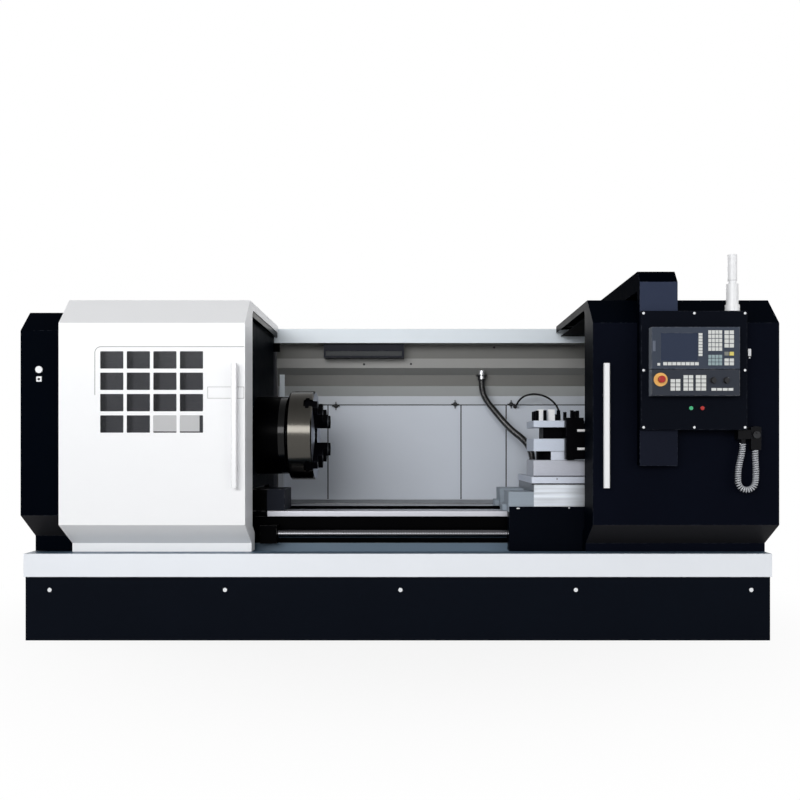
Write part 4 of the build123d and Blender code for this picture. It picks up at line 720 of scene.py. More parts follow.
@dataclass
class Lines:
    """The conduit and the cable that run from the frame to the carriage, and the pendant's curly cord.

    Attributes:
        hose: The conduit's route.
        cable: The thin cable's route.
        curl: The middle line of the curly cord.
        hose_radius: The conduit's radius.
        rib_pitch: The distance between its ribs.
        rib_depth: The share by which they swell it.
        cable_radius: The cable's radius.
        curl_radius: The radius of the curl, to the middle of its wire.
        wire_radius: The radius of that wire.
        curl_pitch: The distance between its turns.
        turn_points: The points in each turn.
    """

    hose: Route = Route("carriage_hose", (
        (0.588, 0.568, 1.598), (0.588, 0.568, 1.530), (0.620, 0.558, 1.452), (0.695, 0.530, 1.355),
        (0.781, 0.460, 1.245), (0.868, 0.392, 1.172), (0.912, 0.364, 1.105), (0.927, 0.354, 1.032),
        (0.927, 0.354, 0.990)), 64)
    cable: Route = Route("tool_cable", (
        (0.838, 0.639, 1.414), (0.838, 0.600, 1.414), (0.843, 0.566, 1.428), (0.858, 0.545, 1.458),
        (0.892, 0.532, 1.484), (0.938, 0.520, 1.497), (0.988, 0.504, 1.495), (1.034, 0.481, 1.479),
        (1.073, 0.453, 1.452), (1.103, 0.424, 1.414), (1.120, 0.398, 1.367), (1.121, 0.378, 1.315),
        (1.106, 0.364, 1.262), (1.081, 0.357, 1.213), (1.052, 0.354, 1.165), (1.028, 0.354, 1.112),
        (1.014, 0.354, 1.056), (1.012, 0.354, 1.020), (1.012, 0.354, 0.990)), 12)
    curl: Route = Route("pendant_cord", (
        (1.925, -0.9, 1.135), (1.925, -0.9, 1.100), (1.914, -0.9, 1.050), (1.902, -0.9, 1.000),
        (1.898, -0.9, 0.950), (1.900, -0.9, 0.908), (1.912, -0.9, 0.886), (1.934, -0.9, 0.874),
        (1.960, -0.9, 0.874), (1.982, -0.9, 0.886), (1.994, -0.9, 0.908), (1.998, -0.9, 0.950),
        (1.998, -0.9, 1.000), (1.994, -0.9, 1.050), (1.994, -0.9, 1.096)), 40)
    hose_radius: float = 0.0235
    rib_pitch: float = 0.009
    rib_depth: float = 0.06
    cable_radius: float = 0.0070
    curl_radius: float = 0.0140
    wire_radius: float = 0.0042
    curl_pitch: float = 0.0125
    turn_points: int = 14

    def build(self, shop: Shop) -> None:
        """Makes the three lines.

        Args:
            shop: Not used.
        """
        self._tube(self.hose, self.hose_radius, self.rib_depth, HOSE_BLACK)
        self._tube(self.cable, self.cable_radius, 0.0, CABLE_BLACK)
        self._curl()

    def _tube(self, route: Route, radius: float, ribs: float, finish: Finish) -> None:
        """Makes a tube that bends between the frame and the carriage.

        Args:
            route: The tube's route.
            radius: The tube's radius.
            ribs: The share by which the radius swells and shrinks.
            finish: The tube's finish.
        """
        places = route.line()
        holder = add_curve(route.name, "POLY", places, 12, radius)
        for count, knot in enumerate(holder.data.splines[0].points, 1):
            knot.radius = 1 + ribs * math.cos(2 * math.pi * run_length(places[:count]) / self.rib_pitch)
        mesh = take_mesh(holder)
        mesh.polygons.foreach_set("use_smooth", [True] * len(mesh.polygons))
        mesh.materials.clear()
        mesh.materials.append(finish.material())
        made = bpy.data.objects.new("line_" + route.name, mesh)
        bpy.context.scene.collection.objects.link(made)
        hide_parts(route.name)
        run_length(places)
        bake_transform(made)
        log.info("piece %s between frame and carriage", made.name)

    def _curl(self) -> None:
        """Winds the pendant's curly cord round its route."""
        places = self.curl.line()
        total = run_length(places)
        count = int(total / self.curl_pitch * self.turn_points)
        side = Vector((0, 1, 0))
        wound = []
        run, index = 0.0, 0
        for step in range(count + 1):
            along = total * step / count
            while index < len(places) - 2 and run + (places[index + 1] - places[index]).length < along:
                run += (places[index + 1] - places[index]).length
                index += 1
            forward = (places[index + 1] - places[index]).normalized()
            middle = places[index] + forward * (along - run)
            out = side.cross(forward).normalized()
            angle = 2 * math.pi * step / self.turn_points
            wound.append(middle + (out * math.cos(angle) + side * math.sin(angle)) * self.curl_radius)
        made = add_curve("pendant_curl", "NURBS", wound, 2, self.wire_radius, 2)
        made.data.materials.append(CORD_GREY.material())
        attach(made, "frame")
        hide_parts("pendant_cord")
        run_length(wound)
        log.info("piece pendant_curl on frame")


@dataclass
class Base:
    """The stand, the tray, the skirt bolts and the bed.

    Attributes:
        way_level: The height from which the bed is ground.
        way_start: Where its ways start, clear of the headstock.
        trough_span: The depths between which the tray is a trough.
        trough_end: How far the trough reaches to each side.
        trough_top: The height under which it is painted grey-blue as painted shade.
    """

    way_level: float = 0.688
    way_start: float = -0.80
    trough_span: Spot = (-0.66, 0.5)
    trough_end: float = 2.1
    trough_top: float = 0.527

    def build(self, shop: Shop) -> None:
        """Dresses the machine's foot.

        Args:
            shop: Where the pieces are made.
        """
        shop.dress("base_stand", [BASE_BLACK], 0.004)
        shop.dress("chip_tray", [TRAY_WHITE, TROUGH_SHADE], 0.002, self._tray_slot)
        shop.dress("bed", [DEEP_BLACK, WAY_STEEL], 0.002, self._bed_slot, ((0, self.way_start),))
        shop.dress("cover_screws", [BRIGHT_STEEL], 0.0006)
        shop.dress("z_screw", [THREAD_STEEL], 0.001)
        shop.dress("screw_brackets", [DEEP_BLACK])
        shop.dress("z_servo", [COVER_BLACK])

    def _tray_slot(self, middle: Vector, normal: Vector) -> int:
        """Gives the trough's slot behind the front rim, painted grey-blue as painted shade."""
        inside = self.trough_span[0] < middle.y < self.trough_span[1] and abs(middle.x) < self.trough_end
        return 1 if inside and middle.z < self.trough_top else 0

    def _bed_slot(self, middle: Vector, normal: Vector) -> int:
        """Gives the ground slot for the ways and the cast slot elsewhere."""
        return 1 if middle.z > self.way_level and middle.x > self.way_start else 0


@dataclass
class Enclosure:
    """The two sliding doors, the end covers, the rear guard and the lamp.

    Attributes:
        door_front: The front face of the doors.
        door_end: The end of the left door towards the opening.
        door_sheet: The thickness of a door's sheet.
        handle_bar: How far a handle's bar stands off its door.
        seam: The width of the thin seam round the window field.
        seam_faces: Its faces before and behind the door's front.
        seam_left: The left side of that field.
        seam_top: Its upper side.
        seam_foot: Where its left side ends.
        seam_corner: The radius of its corner.
        guard_back: The depth from which the rear guard is its back.
        fascia_back: The depth before which it is its fascia.
        ledge_top: The height under which it is the ledge behind the bed.
        fold_span: The foot of its pale lower fold and of the grey fold over it, whose tones are painted light
            and shade.
        recess_foot: The foot of the recess under the fascia, which is painted dark as painted shade.
        band_span: The foot and the top of the lighter band on the recess, painted lighter as painted light.
        lens_depth: How far the lamp's lens lies in its window.
        panel_face: The front face of the rear panels.
        seal_proud: How far a seal stands off that face.
        seal_back: The back of the seals.
        seal_lap: How far a seal laps over a panel's edge.
        seal_rise: How far the top seal reaches under and over the panels' top.
        seam_most: The widest gap that counts as a seam.
        screw_shares: Where the posts behind the rear wall stand along it.
        screw_inset: The distance of their screws from a post's start.
        screw_rows: The height of the lowest screw, the step and the number of rows.
        door_plates: The left door's plate and its border, from the door's end and front.
        roof_seal: The black seal under the left door's roof, from the door's end.
        roof_extras: The lips behind the roofs and what closes the rear corner.
        latches: A quarter-turn latch, from the rear panels' face.
        latch_places: The latches on the rear panels, as X and Z.
        recess_screws: The small screws on the recess above the panels.
        key_slot: The key switch, from the foot of the cover's fittings.
        door_fitting: The white fitting on the right door, from its front.
        pane_film: The pale film on two panes, from their front.
        rear_screws: A screw of those posts.
    """

    door_front: float = -0.85
    door_end: float = -0.859
    door_sheet: float = 0.004
    handle_bar: float = 0.0265
    seam: float = 0.0030
    seam_faces: Spot = (-0.0006, 0.0004)
    seam_left: float = -1.706
    seam_top: float = 1.679
    seam_foot: float = 1.406
    seam_corner: float = 0.035
    guard_back: float = 0.66
    fascia_back: float = 0.43
    ledge_top: float = 0.75
    fold_span: Spot = (1.42, 1.475)
    recess_foot: float = 1.56
    band_span: Spot = (1.69, 1.755)
    lens_depth: float = 0.002
    panel_face: float = 0.647
    seal_proud: float = 0.0012
    seal_back: float = 0.65
    seal_lap: float = 0.001
    seal_rise: Spot = (-0.003, 0.004)
    seam_most: float = 0.02
    screw_shares: tuple[float, ...] = (0.0, 0.3, 0.55, 0.97)
    screw_inset: float = 0.03
    screw_rows: tuple[float, float, int] = (0.62, 0.24, 6)
    door_plates: tuple[Extra, ...] = (
        Extra("door_plate_border", SEAM_GREY, "left_door_body",
              (Block((-0.211, -0.0008, 1.3865), (-0.005, 0, 1.452), 0.0003),)),
        Extra("door_plate", DOOR_WHITE, "left_door_body",
              (Block((-0.209, -0.0012, 1.3885), (-0.007, 0, 1.450), 0.0003),)))
    roof_seal: Extra = Extra("roof_seal", DEEP_BLACK, "left_door_body",
                             (Block((-0.022, -0.60, 1.884), (-0.0035, 0.395, 1.9625), 0.004),))
    roof_extras: tuple[Extra, ...] = (
        Extra("left_roof_lip", DEEP_BLACK, "left_door_body",
              (Block((-1.9055, 0.400, 1.944), (-0.8625, 0.407, 1.9625), 0.001),)),
        Extra("right_roof_lip", DEEP_BLACK, "right_door_body",
              (Block((1.1035, 0.400, 1.944), (2.1465, 0.407, 1.9625), 0.001),)),
        Extra("corner_filler", DEEP_BLACK, "frame",
              (Block((-0.915, 0.4255, 1.79), (-0.850, 0.432, 1.93), 0.001),)),
        Extra("corner_post", FASCIA_PALE, "frame",
              (Block((-0.877, 0.600, 1.473), (-0.841, 0.6045, 1.662), 0.001),)))
    latches: Extra = Extra("panel_latches", BLACK_PLASTIC, "frame",
                           (Rod((0, 0, 0), (0, -0.012, 0), 0.016, 24, 0.002),
                            Block((-0.028, -0.020, -0.004), (0.028, -0.010, 0.004), 0.0015),
                            Block((-0.003, -0.014, -0.030), (0.003, 0, 0.030), 0.001)))
    latch_places: tuple[Spot, ...] = ((-0.471, 1.418), (0.399, 1.430), (0.809, 1.430))
    recess_screws: Extra = Extra("recess_screws", BLACK_PLASTIC, "frame",
                                 (Rod((0, 0.5505, 0), (0, 0.546, 0), 0.008, 16, 0.0015),),
                                 ((-0.261, 0, 1.713), (0.077, 0, 1.716), (0.676, 0, 1.835)))
    key_slot: Extra = Extra("key_slot", BLACK_PLASTIC, "frame",
                            (Rod((0, 0.004, 0.0145), (0, -0.002, 0.0145), 0.007, 20, 0.001),
                             Block((-0.0015, -0.004, 0.010), (0.0015, -0.001, 0.019))))
    door_fitting: Extra = Extra("door_fitting", WHITE_PLASTIC, "right_door_body",
                                (Block((1.973, -0.003, 1.624), (1.990, 0.001, 1.666), 0.0015),
                                 Rod((1.9815, 0.001, 1.615), (1.9815, -0.003, 1.615), 0.004, 16)))
    pane_film: Extra = Extra("pane_film", FILM_PALE, "left_door_body",
                             (Block((-1.378, -0.0006, 1.2005), (-1.116, 0.0004, 1.303)),))
    rear_screws: Extra = Extra("rear_screws", BRIGHT_STEEL, "frame",
                               (Rod((0, -0.0005, 0), (0, 0.005, 0), 0.009, 6, 0.001),))

    def build(self, shop: Shop) -> None:
        """Dresses the guards.

        Args:
            shop: Where the pieces are made.
        """
        shop.dress("left_door", [DOOR_WHITE, STRIP_GREY], 0.0015, self._left_slot)
        shop.dress("left_window", [WINDOW], 0.0)
        shop.dress("left_handle", [HANDLE_WHITE, BLACK_PLASTIC], 0.002, self._handle_slot)
        shop.dress("right_door", [RIGHT_BLACK, COVER_BLACK, SLOPE_LIT_BLACK], 0.0015, self._right_slot)
        shop.dress("right_handle", [HANDLE_WHITE, BRIGHT_STEEL], 0.002, self._handle_slot)
        shop.dress("end_cover", [COVER_BLACK, COVER_BLACK, SLOPE_LIT_BLACK], 0.0015, self._right_slot)
        shop.dress("cover_fittings", [WHITE_PLASTIC], 0.0008)
        shop.dress("tail_cover", [COVER_BLACK, COVER_BLACK, SLOPE_LIT_BLACK], 0.0015, self._right_slot)
        shop.dress("rear_guard",
                   [GUARD_GREY, FASCIA_PALE, RECESS_SHADE, LEDGE_STEEL, FOLD_SHADE, STEP_SHADE, BAND_LIGHT],
                   0.001, self._guard_slot, ((2, self.band_span[1]),))
        shop.dress("rear_panels", [WALL_GREY], 0.0008)
        shop.dress("work_lamp", [LAMP_NAVY, LAMP_LENS], 0.001, self._lamp_slot)
        self._door_seam(shop)
        for extra in self.door_plates:
            extra.fit(shop, (self.door_end, self.door_front, 0))
        self.roof_seal.fit(shop, (self.door_end, 0, 0))
        for extra in self.roof_extras:
            extra.fit(shop)
        self._panel_seals(shop)
        self.latches.fit(shop, *[(x, self.panel_face, z) for x, z in self.latch_places])
        self.recess_screws.fit(shop)
        low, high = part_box("cover_fittings")
        self.key_slot.fit(shop, ((low.x + high.x) / 2, low.y, low.z))
        self.door_fitting.fit(shop, (0, self.door_front, 0))
        self.pane_film.fit(shop, (0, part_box("left_window")[0].y, 0))
        self._rear_screws(shop)

    def _left_slot(self, middle: Vector, normal: Vector) -> int:
        """Gives the grey slot for the end frame towards the opening."""
        return 1 if middle.x > self.door_end - self.door_sheet and abs(normal.x) > HALF else 0

    def _right_slot(self, middle: Vector, normal: Vector) -> int:
        """Gives the front's slot, a lighter one for the slope below it as painted light, and a deep one
        elsewhere.

        Args:
            middle: The face's middle.
            normal: The face's normal.

        Returns:
            The number of the face's slot.
        """
        if normal.y < -LEAN and normal.z < -LEAN:
            return 2
        return 0 if normal.y < -FULL else 1

    def _handle_slot(self, middle: Vector, normal: Vector) -> int:
        """Gives the post slot between a handle's bar and its door."""
        return 1 if middle.y > self.door_front - self.handle_bar else 0

    def _guard_slot(self, middle: Vector, normal: Vector) -> int:
        """Gives a slot by height: ledge, wall, fold, recess, its band or fascia. The folds, the recess, its
        underside and its band get lighter and darker greys as painted light and shade.

        Args:
            middle: The face's middle.
            normal: The face's normal.

        Returns:
            The number of the face's slot.
        """
        if middle.y > self.guard_back or normal.y > LEAN:
            return 0
        if middle.z < self.ledge_top:
            return 3
        if middle.y < self.fascia_back:
            return 1
        if middle.z > self.recess_foot:
            if normal.z < -STEEP:
                return 5
            return 6 if normal.y < -STEEP and self.band_span[0] < middle.z < self.band_span[1] else 2
        if middle.z > self.fold_span[0]:
            return 4 if middle.z > self.fold_span[1] else 1
        return 0

    def _lamp_slot(self, middle: Vector, normal: Vector) -> int:
        """Gives the lens slot inside the lamp's window."""
        return 1 if middle.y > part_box("work_lamp")[0].y + self.lens_depth and normal.y < -HALF else 0

    def _door_seam(self, shop: Shop) -> None:
        """Lays the thin seam with one round corner on the left door.

        Args:
            shop: Where the pieces are made.
        """
        front, back = (self.door_front + face for face in self.seam_faces)
        left, right = self.seam_left, self.seam_left + self.seam
        inner, level = left + self.seam_corner, self.seam_top - self.seam_corner
        work = bmesh.new()
        Block((left, front, level - 1e-5), (right, back, level)).add(work)
        bmesh.ops.spin(work, geom=[f for f in work.faces if f.normal.z > FULL], cent=(inner, 0, level),
                       axis=(0, 1, 0), angle=math.radians(90), steps=8, use_merge=False)
        bmesh.ops.remove_doubles(work, verts=work.verts, dist=1e-6)
        bmesh.ops.recalc_face_normals(work, faces=work.faces)
        Block((inner, front, self.seam_top - self.seam),
              (self.door_end - self.door_sheet, back, self.seam_top)).add(work)
        Block((left, front, self.seam_foot), (right, back, level)).add(work)
        shop.piece("door_seam", work, [SEAM_GREY], "left_door_body")

    def _panel_seals(self, shop: Shop) -> None:
        """Seals the seams between the rear panels and their top.

        Args:
            shop: Where the pieces are made.
        """
        ends = sorted({round(v.co.x, 4) for v in shop.nodes["rear_panels"].data.vertices})
        low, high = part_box("rear_panels")
        front, back = self.panel_face - self.seal_proud, self.seal_back
        seals = [Block((a - self.seal_lap, front, low.z), (b + self.seal_lap, back, high.z))
                 for a, b in zip(ends, ends[1:]) if b - a < self.seam_most]
        under, over = (high.z + rise for rise in self.seal_rise)
        seals.append(Block((low.x, front, under), (high.x, back, over)))
        Extra("panel_seals", SEAL_BLACK, "frame", tuple(seals)).fit(shop)

    def _rear_screws(self, shop: Shop) -> None:
        """Sets rows of screws in the posts behind the rear wall.

        Args:
            shop: Where the pieces are made.
        """
        low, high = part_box("rear_guard")
        foot, step, rows = self.screw_rows
        self.rear_screws.fit(shop, *[
            (low.x + share * (high.x - low.x) + self.screw_inset, high.y, foot + row * step)
            for share in self.screw_shares for row in range(rows)])


@dataclass
class Headstock:
    """The headstock, its spindle, the chuck and the belt drive.

    Attributes:
        block_top: The top of the foot block under the nose.
        block_start: Where that block's painted shade ends; left of it the block is painted black as shade.
        ring_start: The start of the polished ring on the nose.
        chuck_front: The face of the chuck.
        axis: The spindle's axis, as Y and Z.
        nose_screws: A screw on the nose, on that axis.
        nose_radius: The radius of the circle of screws.
        nose_count: The number of screws.
    """

    block_top: float = 0.858
    block_start: float = -0.803
    ring_start: float = -0.735
    chuck_front: float = -0.53
    axis: Spot = (-0.21, 1.189)
    nose_screws: Extra = Extra("nose_screws", TOOL_BLACK, "frame",
                               (Rod((-0.6905, 0, 0), (-0.684, 0, 0), 0.009, 6, 0.001),))
    nose_radius: float = 0.222
    nose_count: int = 8

    def build(self, shop: Shop) -> None:
        """Dresses the spindle end.

        Args:
            shop: Where the pieces are made.
        """
        shop.dress("headstock", [DEEP_BLACK, CAST_BLUE, NOSE_BLACK], 0.003, self._head_slot,
                   ((0, self.block_start), (0, self.ring_start)))
        shop.dress("spindle_bearings", [BRIGHT_STEEL], 0.0)
        shop.dress("spindle", [DARK_STEEL], 0.001)
        shop.dress("chuck_body", [CHUCK_STEEL, CHUCK_FACE], 0.003, self._chuck_slot)
        for number in range(1, 5):
            shop.dress(f"chuck_jaw_{number}", [TOOL_BLACK], 0.0015)
        shop.dress("main_motor", [CAST_BLUE], 0.002)
        shop.dress("motor_pulley", [DARK_STEEL], 0.001)
        shop.dress("drive_belt", [SEAL_BLACK], 0.0)
        angles = [2 * math.pi * (turn + 0.5) / self.nose_count for turn in range(self.nose_count)]
        self.nose_screws.fit(shop, *[(0, self.axis[0] + self.nose_radius * math.cos(angle),
                                      self.axis[1] + self.nose_radius * math.sin(angle)) for angle in angles])

    def _head_slot(self, middle: Vector, normal: Vector) -> int:
        """Gives the blue cast slot for the foot block, with painted black shade left of block_start, and the
        glossy slot for the nose's ring.

        Args:
            middle: The face's middle.
            normal: The face's normal.

        Returns:
            The number of the face's slot.
        """
        if middle.z < self.block_top:
            # Painted shade: the foot block is black left of block_start.
            return 1 if middle.x > self.block_start else 0
        return 2 if middle.x > self.ring_start else 0

    def _chuck_slot(self, middle: Vector, normal: Vector) -> int:
        """Gives the face slot for the chuck's front."""
        return 1 if middle.x > self.chuck_front and normal.x > FULL else 0


@dataclass
class Carriage:
    """The saddle, the apron, the slides and the tool post.

    Attributes:
        mid_span: The start and the end of the saddle's raised middle.
        mid_slack: How far past its ends a face still belongs to it.
        mid_back: The depth where it ends.
        mid_front: The depth before which its front is milled.
        base_top: The top of the fixed tool post base.
        neck_front: The depth before which the neck has its pale cover.
        slot_span: The floor and the roof of the tool slot.
        bar_front: The depth before which the tooling is its bars, painted near white as their highlight.
        bar_top: The height under which they lie.
        seat_low: The seat line's lowest corner, from that of the tool post base.
        seat_high: Its highest corner, from the base's right lower front corner.
        oiler: The oiler on the cross slide.
        saddle_extras: The screws on the apron and the wiper strip on the saddle.
        post_extras: The two bright rests between the clamp screws and the nut on the tool post.
    """

    mid_span: Spot = (0.813, 1.161)
    mid_slack: float = 0.001
    mid_back: float = 0.21
    mid_front: float = -0.5
    base_top: float = 1.0345
    neck_front: float = -0.44
    slot_span: Spot = (1.1645, 1.2335)
    bar_front: float = -0.5292
    bar_top: float = 1.25
    seat_low: Point = (0.001, -0.0012, 0.0004)
    seat_high: Point = (-0.001, 0.001, 0.0048)
    oiler: Rod = Rod((0.950, -0.534, 0.9225), (0.950, -0.5375, 0.9225), 0.004, 12, 0.0008)
    saddle_extras: tuple[Extra, ...] = (
        Extra("apron_screws", BRIGHT_STEEL, "carriage",
              (Rod((0, -0.535, 0), (0, -0.539, 0), 0.0045, 16, 0.001),),
              ((0.712, 0, 0.747), (0.722, 0, 0.747), (1.022, 0, 0.750))),
        Extra("saddle_wiper", SEAL_BLACK, "carriage",
              (Block((0.800, -0.5275, 0.888), (1.172, -0.524, 0.8955), 0.0008),)))
    post_extras: tuple[Extra, ...] = (
        Extra("clamp_rests", BAR_STEEL, "tool_head",
              (Block((0.853, -0.400, 1.2735), (0.893, -0.370, 1.345), 0.002),
               Block((0.918, -0.400, 1.2735), (0.960, -0.370, 1.345), 0.002))),
        Extra("post_nut", TOOL_BLACK, "tool_head",
              (Rod((0.975, -0.313, 1.2735), (0.975, -0.313, 1.300), 0.030, 6, 0.002),
               Rod((0.975, -0.313, 1.299), (0.975, -0.313, 1.318), 0.018, 24, 0.002))))

    def build(self, shop: Shop) -> None:
        """Dresses the carriage.

        Args:
            shop: Where the pieces are made.
        """
        shop.dress("saddle", [CAST_GREY, MILLED_SHADED, MACHINED], 0.002, self._saddle_slot,
                   [(0, x) for x in self.mid_span])
        shop.dress("apron", [CAST_BLACK], 0.002)
        shop.dress("cross_slide", [SLIDE_STEEL], 0.0015)
        shop.dress("x_screw", [CROSS_STEEL], 0.0)
        shop.dress("post_base", [BASE_STEEL, TOOL_BLACK, SLIDE_STEEL], 0.002, self._base_slot)
        shop.dress("tool_post", [POST_STEEL, TOOL_BLACK], 0.002, self._post_slot)
        shop.dress("tooling", [TOOL_BLACK, BAR_STEEL], 0.0012, self._tool_slot)
        for extra in self.saddle_extras:
            extra.fit(shop)
        low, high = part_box("post_base")
        corner = Vector((high.x, low.y, low.z))
        seat = Block(tuple(low + Vector(self.seat_low)), tuple(corner + Vector(self.seat_high)))
        Extra("base_seat", SEAL_BLACK, "cross_slide_body", (seat, self.oiler)).fit(shop)
        for extra in self.post_extras:
            extra.fit(shop)

    def _saddle_slot(self, middle: Vector, normal: Vector) -> int:
        """Gives the machined slot for the raised middle and the milled slot for its front, which darkens to
        the right as painted shade.

        Args:
            middle: The face's middle.
            normal: The face's normal.

        Returns:
            The number of the face's slot.
        """
        start, end = self.mid_span[0] - self.mid_slack, self.mid_span[1] + self.mid_slack
        if start < middle.x < end and middle.y < self.mid_back:
            return 1 if normal.y < -HALF and middle.y < self.mid_front else 2
        return 0

    def _base_slot(self, middle: Vector, normal: Vector) -> int:
        """Gives the dark slot for the neck and the pale slot for its cover.

        Args:
            middle: The face's middle.
            normal: The face's normal.

        Returns:
            The number of the face's slot.
        """
        if middle.z < self.base_top:
            return 0
        return 2 if middle.y < self.neck_front else 1

    def _post_slot(self, middle: Vector, normal: Vector) -> int:
        """Gives the dark slot inside the tool slot, painted black as painted shade."""
        return 1 if self.slot_span[0] < middle.z < self.slot_span[1] and abs(normal.z) < HALF else 0

    def _tool_slot(self, middle: Vector, normal: Vector) -> int:
        """Gives the bright slot for the two bars on the holder, painted near white as a painted highlight."""
        return 1 if middle.y < self.bar_front and middle.z < self.bar_top else 0


@dataclass
class Tailstock:
    """The tailstock, its quill and its handwheel."""

    def build(self, shop: Shop) -> None:
        """Dresses the tailstock.

        Args:
            shop: Where the pieces are made.
        """
        shop.dress("tailstock", [CAST_GREY], 0.003)
        shop.dress("quill", [BRIGHT_STEEL], 0.0008)
        shop.dress("live_centre", [BRIGHT_STEEL], 0.0006)
        shop.dress("tail_handwheel", [BRIGHT_STEEL], 0.001)


@dataclass
class ControlStation:
    """The hanging arm, the control box with its panel, the hand pendant and the conduit's fitting.

    Attributes:
        arm_split: The height behind the box where the arm changes its tone.
        panel_face: The front face of the operator panel.
        panel_side: The place left of which the panel's side is pale.
        panel_split: The height of the joint between the two panel units.
        stop_place: The middle of the emergency stop, as X and Z.
        stop_reach: The radius of its ring.
        stop_proud: How far the ring's faces stand off the panel.
        port_end: The right end of the port beside the screen.
        teal_span: The start and the end of the teal keys.
        teal_rows: The foot and the top of those keys.
        pair_start: The start of the grey and the yellow key.
        pair_split: The place between the two.
        pair_rows: The foot and the top of the two.
        hose_collar: The conduit's bright collar.
        knob_marks: The mark over a knob, from the panel's face.
        knob_places: The places of the two knobs along the panel.
    """

    arm_split: float = 1.6
    panel_face: float = -1.006
    panel_side: float = 1.392
    panel_split: float = 1.537
    stop_place: Spot = (1.4358, 1.4798)
    stop_reach: float = 0.039
    stop_proud: float = 0.001
    port_end: float = 1.412
    teal_span: Spot = (1.690, 1.776)
    teal_rows: Spot = (1.545, 1.620)
    pair_start: float = 1.780
    pair_split: float = 1.811
    pair_rows: Spot = (1.606, 1.637)
    hose_collar: Extra = Extra("hose_collar", BRIGHT_STEEL, "frame",
                               (Rod((0.588, 0.560, 1.606), (0.588, 0.560, 1.668), 0.022, 24, 0.002),
                                Rod((0.588, 0.560, 1.632), (0.588, 0.560, 1.642), 0.027, 24, 0.002)))
    knob_marks: Extra = Extra("knob_marks", TRIM_GREY, "frame",
                              (Block((-0.003, -0.0006, 1.486), (0.003, 0.001, 1.491)),))
    knob_places: Spot = (1.728, 1.806)

    def build(self, shop: Shop) -> None:
        """Dresses the operator's station.

        Args:
            shop: Where the pieces are made.
        """
        shop.dress("control_arm", [SHADE_BLACK, ARM_BLACK, LOW_BLACK], 0.003, self._arm_slot,
                   ((2, self.arm_split),))
        shop.dress("control_box", [BOX_BLACK], 0.002)
        shop.dress("operator_panels", [PANEL_GREY, ORANGE_RING, TRIM_GREY, PANEL_LOW], 0.0012,
                   self._ring_slot)
        shop.dress("screen", [SCREEN_DARK], 0.0006)
        shop.dress("panel_keys", [KEY_PALE, KEY_TEAL, KEY_GREY, KEY_YELLOW, PORT_GREY], 0.0005,
                   self._key_slot)
        for node, finish, edge in (
                ("estop_knob", RED_GLOSS, 0.0008), ("green_button", GREEN_GLOSS, 0.0008),
                ("red_button", RED_GLOSS, 0.0008), ("feed_knob", BLACK_PLASTIC, 0.0008),
                ("speed_knob", BLACK_PLASTIC, 0.0008), ("signal_lamp", WHITE_PLASTIC, 0.0015),
                ("pendant", PENDANT_BLACK, 0.002), ("pendant_dial", BLACK_PLASTIC, 0.0008),
                ("pendant_fittings", PENDANT_BLACK, 0.0008), ("hose_fitting", BLACK_PLASTIC, 0.0008)):
            shop.dress(node, [finish], edge)
        self.hose_collar.fit(shop)
        self.knob_marks.fit(shop, *[(x, self.panel_face, 0) for x in self.knob_places])

    def _arm_slot(self, middle: Vector, normal: Vector) -> int:
        """Gives the lighter slots for the arm's front, above and below the box.

        Args:
            middle: The face's middle.
            normal: The face's normal.

        Returns:
            The number of the face's slot.
        """
        if normal.y > -FULL:
            return 0
        return 1 if middle.z > self.arm_split else 2

    def _ring_slot(self, middle: Vector, normal: Vector) -> int:
        """Gives the slots for the emergency stop's ring, the pale left side and the lower unit.

        Args:
            middle: The face's middle.
            normal: The face's normal.

        Returns:
            The number of the face's slot.
        """
        if normal.x < -FULL and middle.x < self.panel_side:
            return 2
        off = math.hypot(middle.x - self.stop_place[0], middle.z - self.stop_place[1])
        if off < self.stop_reach and middle.y < self.panel_face - self.stop_proud:
            return 1
        return 3 if middle.z < self.panel_split else 0

    def _key_slot(self, middle: Vector, normal: Vector) -> int:
        """Gives a key's colour slot by its field.

        Args:
            middle: The face's middle.
            normal: The face's normal.

        Returns:
            The number of the face's slot.
        """
        if middle.x < self.port_end:
            return 4
        (start, end), (foot, top) = self.teal_span, self.teal_rows
        if start < middle.x < end and foot < middle.z < top:
            return 1
        if middle.x > self.pair_start and self.pair_rows[0] < middle.z < self.pair_rows[1]:
            return 3 if middle.x > self.pair_split else 2
        return 0


@dataclass
class Cabinet:
    """The electrical cabinet at the rear.

    Attributes:
        locks: A turn lock, from the door's outer face.
        lock_inset: The distance of the locks from the door's edge.
        lock_shares: Their heights, as shares of the door's.
    """

    locks: Extra = Extra("cabinet_locks", BLACK_PLASTIC, "cabinet_door_body",
                         (Rod((0, -0.006, 0), (0, 0.004, 0), 0.018, 24, 0.002),
                          Block((-0.006, 0.003, -0.016), (0.006, 0.012, 0.016), 0.002)))
    lock_inset: float = 0.06
    lock_shares: Spot = (0.3, 0.7)

    def build(self, shop: Shop) -> None:
        """Dresses the cabinet and gives its door two turn locks.

        Args:
            shop: Where the pieces are made.
        """
        shop.dress("electric_cabinet", [LOW_BLACK], 0.0015)
        shop.dress("cabinet_door", [LOW_BLACK], 0.0015)
        low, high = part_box("cabinet_door")
        self.locks.fit(shop, *[(high.x - self.lock_inset, high.y, low.z + share * (high.z - low.z))
                               for share in self.lock_shares])


@dataclass(frozen=True)
class Lamp:
    """A soft light.

    Attributes:
        name: The light's name.
        place: Where it hangs.
        size: Its width and height.
        power: Its power in watts.
    """

    name: str
    place: Point
    size: Spot
    power: float

    def hang(self, target: Point) -> None:
        """Hangs the light so that it faces a target.

        Args:
            target: What the light faces.
        """
        data = bpy.data.lights.new(self.name, "AREA")
        data.shape = "RECTANGLE"
        data.size, data.size_y = self.size
        data.energy = self.power
        light = bpy.data.objects.new(self.name, data)
        light.location = self.place
        light.rotation_euler = (Vector(target) - light.location).to_track_quat("-Z", "Y").to_euler()
        bpy.context.scene.collection.objects.link(light)


